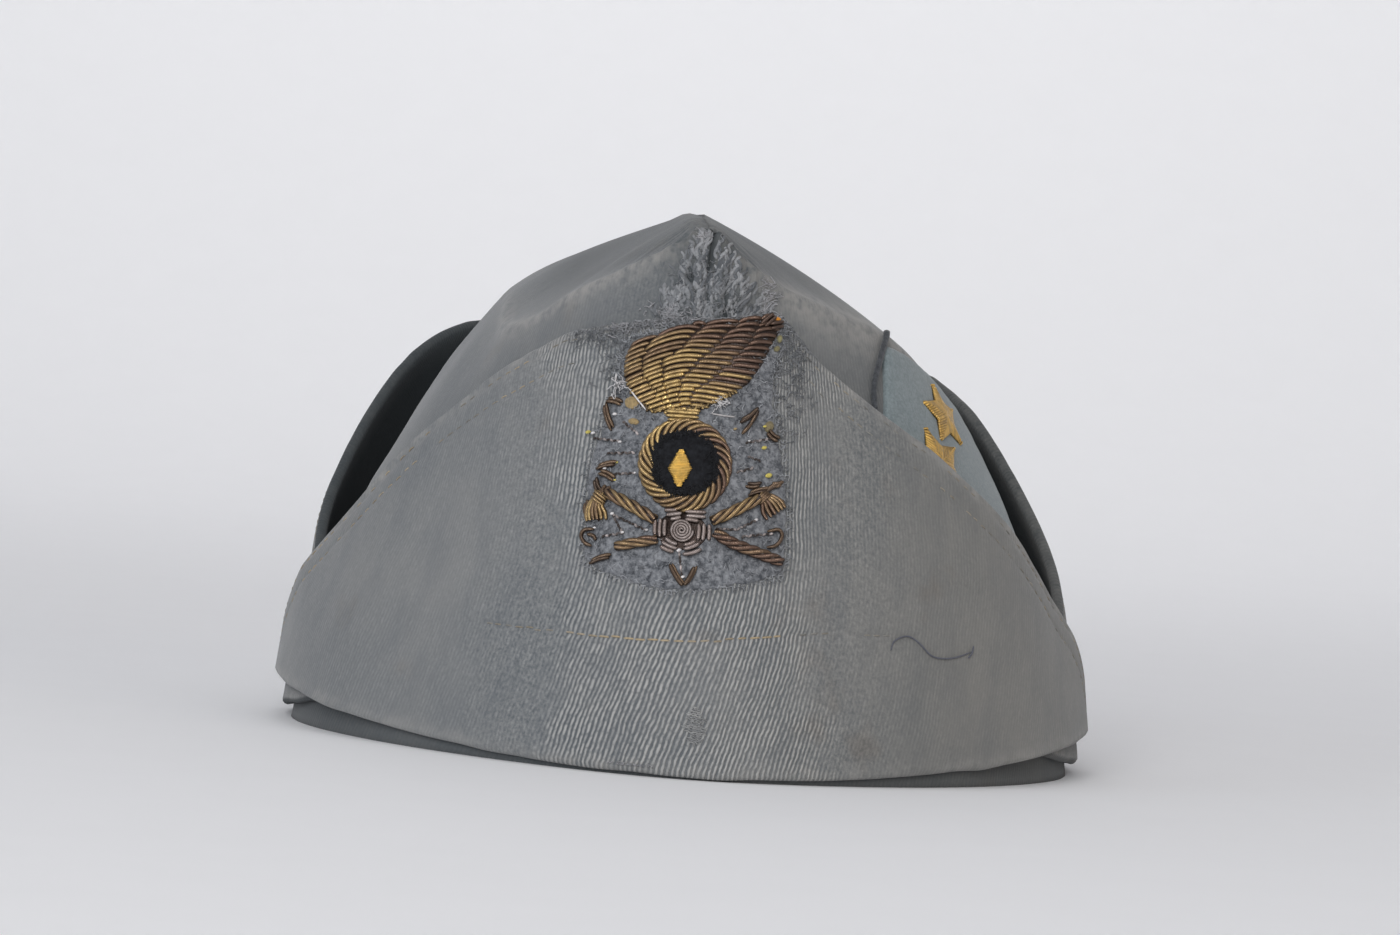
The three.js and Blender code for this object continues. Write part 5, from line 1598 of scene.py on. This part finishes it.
FRAME_WIDTH, FOCAL_PIXELS, SENSOR = 1400, 4617, 36
CAMERA_PLACE = (0.1, -1005, 70.8)
PITCH_DOWN, ROLL = 0.61, 4.4
FLOOR_HALF, FLOOR_FRONT, FLOOR_BACK = 5, -5, 1.3
SWEEP_RADIUS, SWEEP_TOP = 0.8, 2.6
PAPER_DARK, PAPER_PALE = (0.9, 0.9, 0.91), (0.92, 0.92, 0.93)
CAP_MIDDLE = (0, 0, 0.06)
LIGHTS = [
    # name, place in metres, what it is aimed at, size in metres, watts, colour
    ("overhead", (0.0, -0.3, 2.2), CAP_MIDDLE, 2.2, 4.5, (1.0, 0.99, 0.97)),
    ("front", (-0.35, -2.7, 0.85), CAP_MIDDLE, 1.3, 55, (1.0, 1.0, 1.0)),
    ("front_left", (-1.9, -1.6, 0.7), CAP_MIDDLE, 1.2, 7.5, (0.82, 0.91, 1.0)),
    ("front_right", (1.9, -1.6, 0.6), CAP_MIDDLE, 1.2, 4.5, (1.0, 0.82, 0.6)),
    ("backdrop", (0.0, 0.9, 1.6), (0, 2.1, 1.1), 0.8, 6, (1.0, 1.0, 1.0)),
]
AMBIENT, AMBIENT_COLOUR = 0.345, (0.93, 0.94, 1.0, 1)


def placed(name, data, matrix=Matrix()):
    made = bpy.data.objects.new(name, data)
    bpy.context.scene.collection.objects.link(made)
    made.matrix_world = matrix
    return made


def make_camera():
    lens = bpy.data.cameras.new("camera")
    lens.sensor_width = SENSOR
    lens.lens = SENSOR * FOCAL_PIXELS / FRAME_WIDTH
    lens.clip_start, lens.clip_end = 0.01, 50
    place = Matrix.Translation((np.array(CAMERA_PLACE) + SHIFT) * MM)
    tilt = Matrix.Rotation(math.radians(90 - PITCH_DOWN), 4, "X")
    roll = Matrix.Rotation(math.radians(ROLL), 4, "Z")
    bpy.context.scene.camera = placed("camera", lens, place @ tilt @ roll)


def make_floor():
    """A pale floor that sweeps up into its own backdrop."""
    angle = np.linspace(0, math.pi / 2, 25)
    y = np.concatenate([[FLOOR_FRONT, 0], FLOOR_BACK + SWEEP_RADIUS * np.sin(angle)])
    z = np.concatenate([[0, 0], SWEEP_RADIUS * (1 - np.cos(angle))])
    y, z = np.append(y, y[-1]), np.append(z, SWEEP_TOP)
    mesh = bpy.data.meshes.new("floor")
    points = [(x, b, c) for x in (-FLOOR_HALF, FLOOR_HALF) for b, c in zip(y, z)]
    mesh.from_pydata(points, [], grid_faces(2, len(y)).tolist())
    mesh.polygons.foreach_set("use_smooth", np.ones(len(mesh.polygons), bool))
    shade = Shader("floor_paper", Roughness=0.9, Specular_IOR_Level=0.2)
    grain = shade.noise(40, 4, 0.6)
    mesh.materials.append(shade.finish(shade.mix(grain, PAPER_DARK, PAPER_PALE), grain, 0.02))
    floor = placed("floor", mesh)


def make_lights():
    for name, place, aim, size, watts, colour in LIGHTS:
        lamp = bpy.data.lights.new(name, "AREA")
        lamp.size, lamp.energy, lamp.color = size, watts, colour
        way = (Vector(aim) - Vector(place)).to_track_quat("-Z", "Y")
        placed(name, lamp, Matrix.Translation(place) @ way.to_matrix().to_4x4())
    world = bpy.data.worlds.new("studio")
    world.use_nodes = True
    background = world.node_tree.nodes["Background"].inputs
    background[0].default_value, background[1].default_value = AMBIENT_COLOUR, AMBIENT
    bpy.context.scene.world = world
    bpy.context.scene.view_settings.view_transform = "Standard"


make_camera()
make_floor()
make_lights()
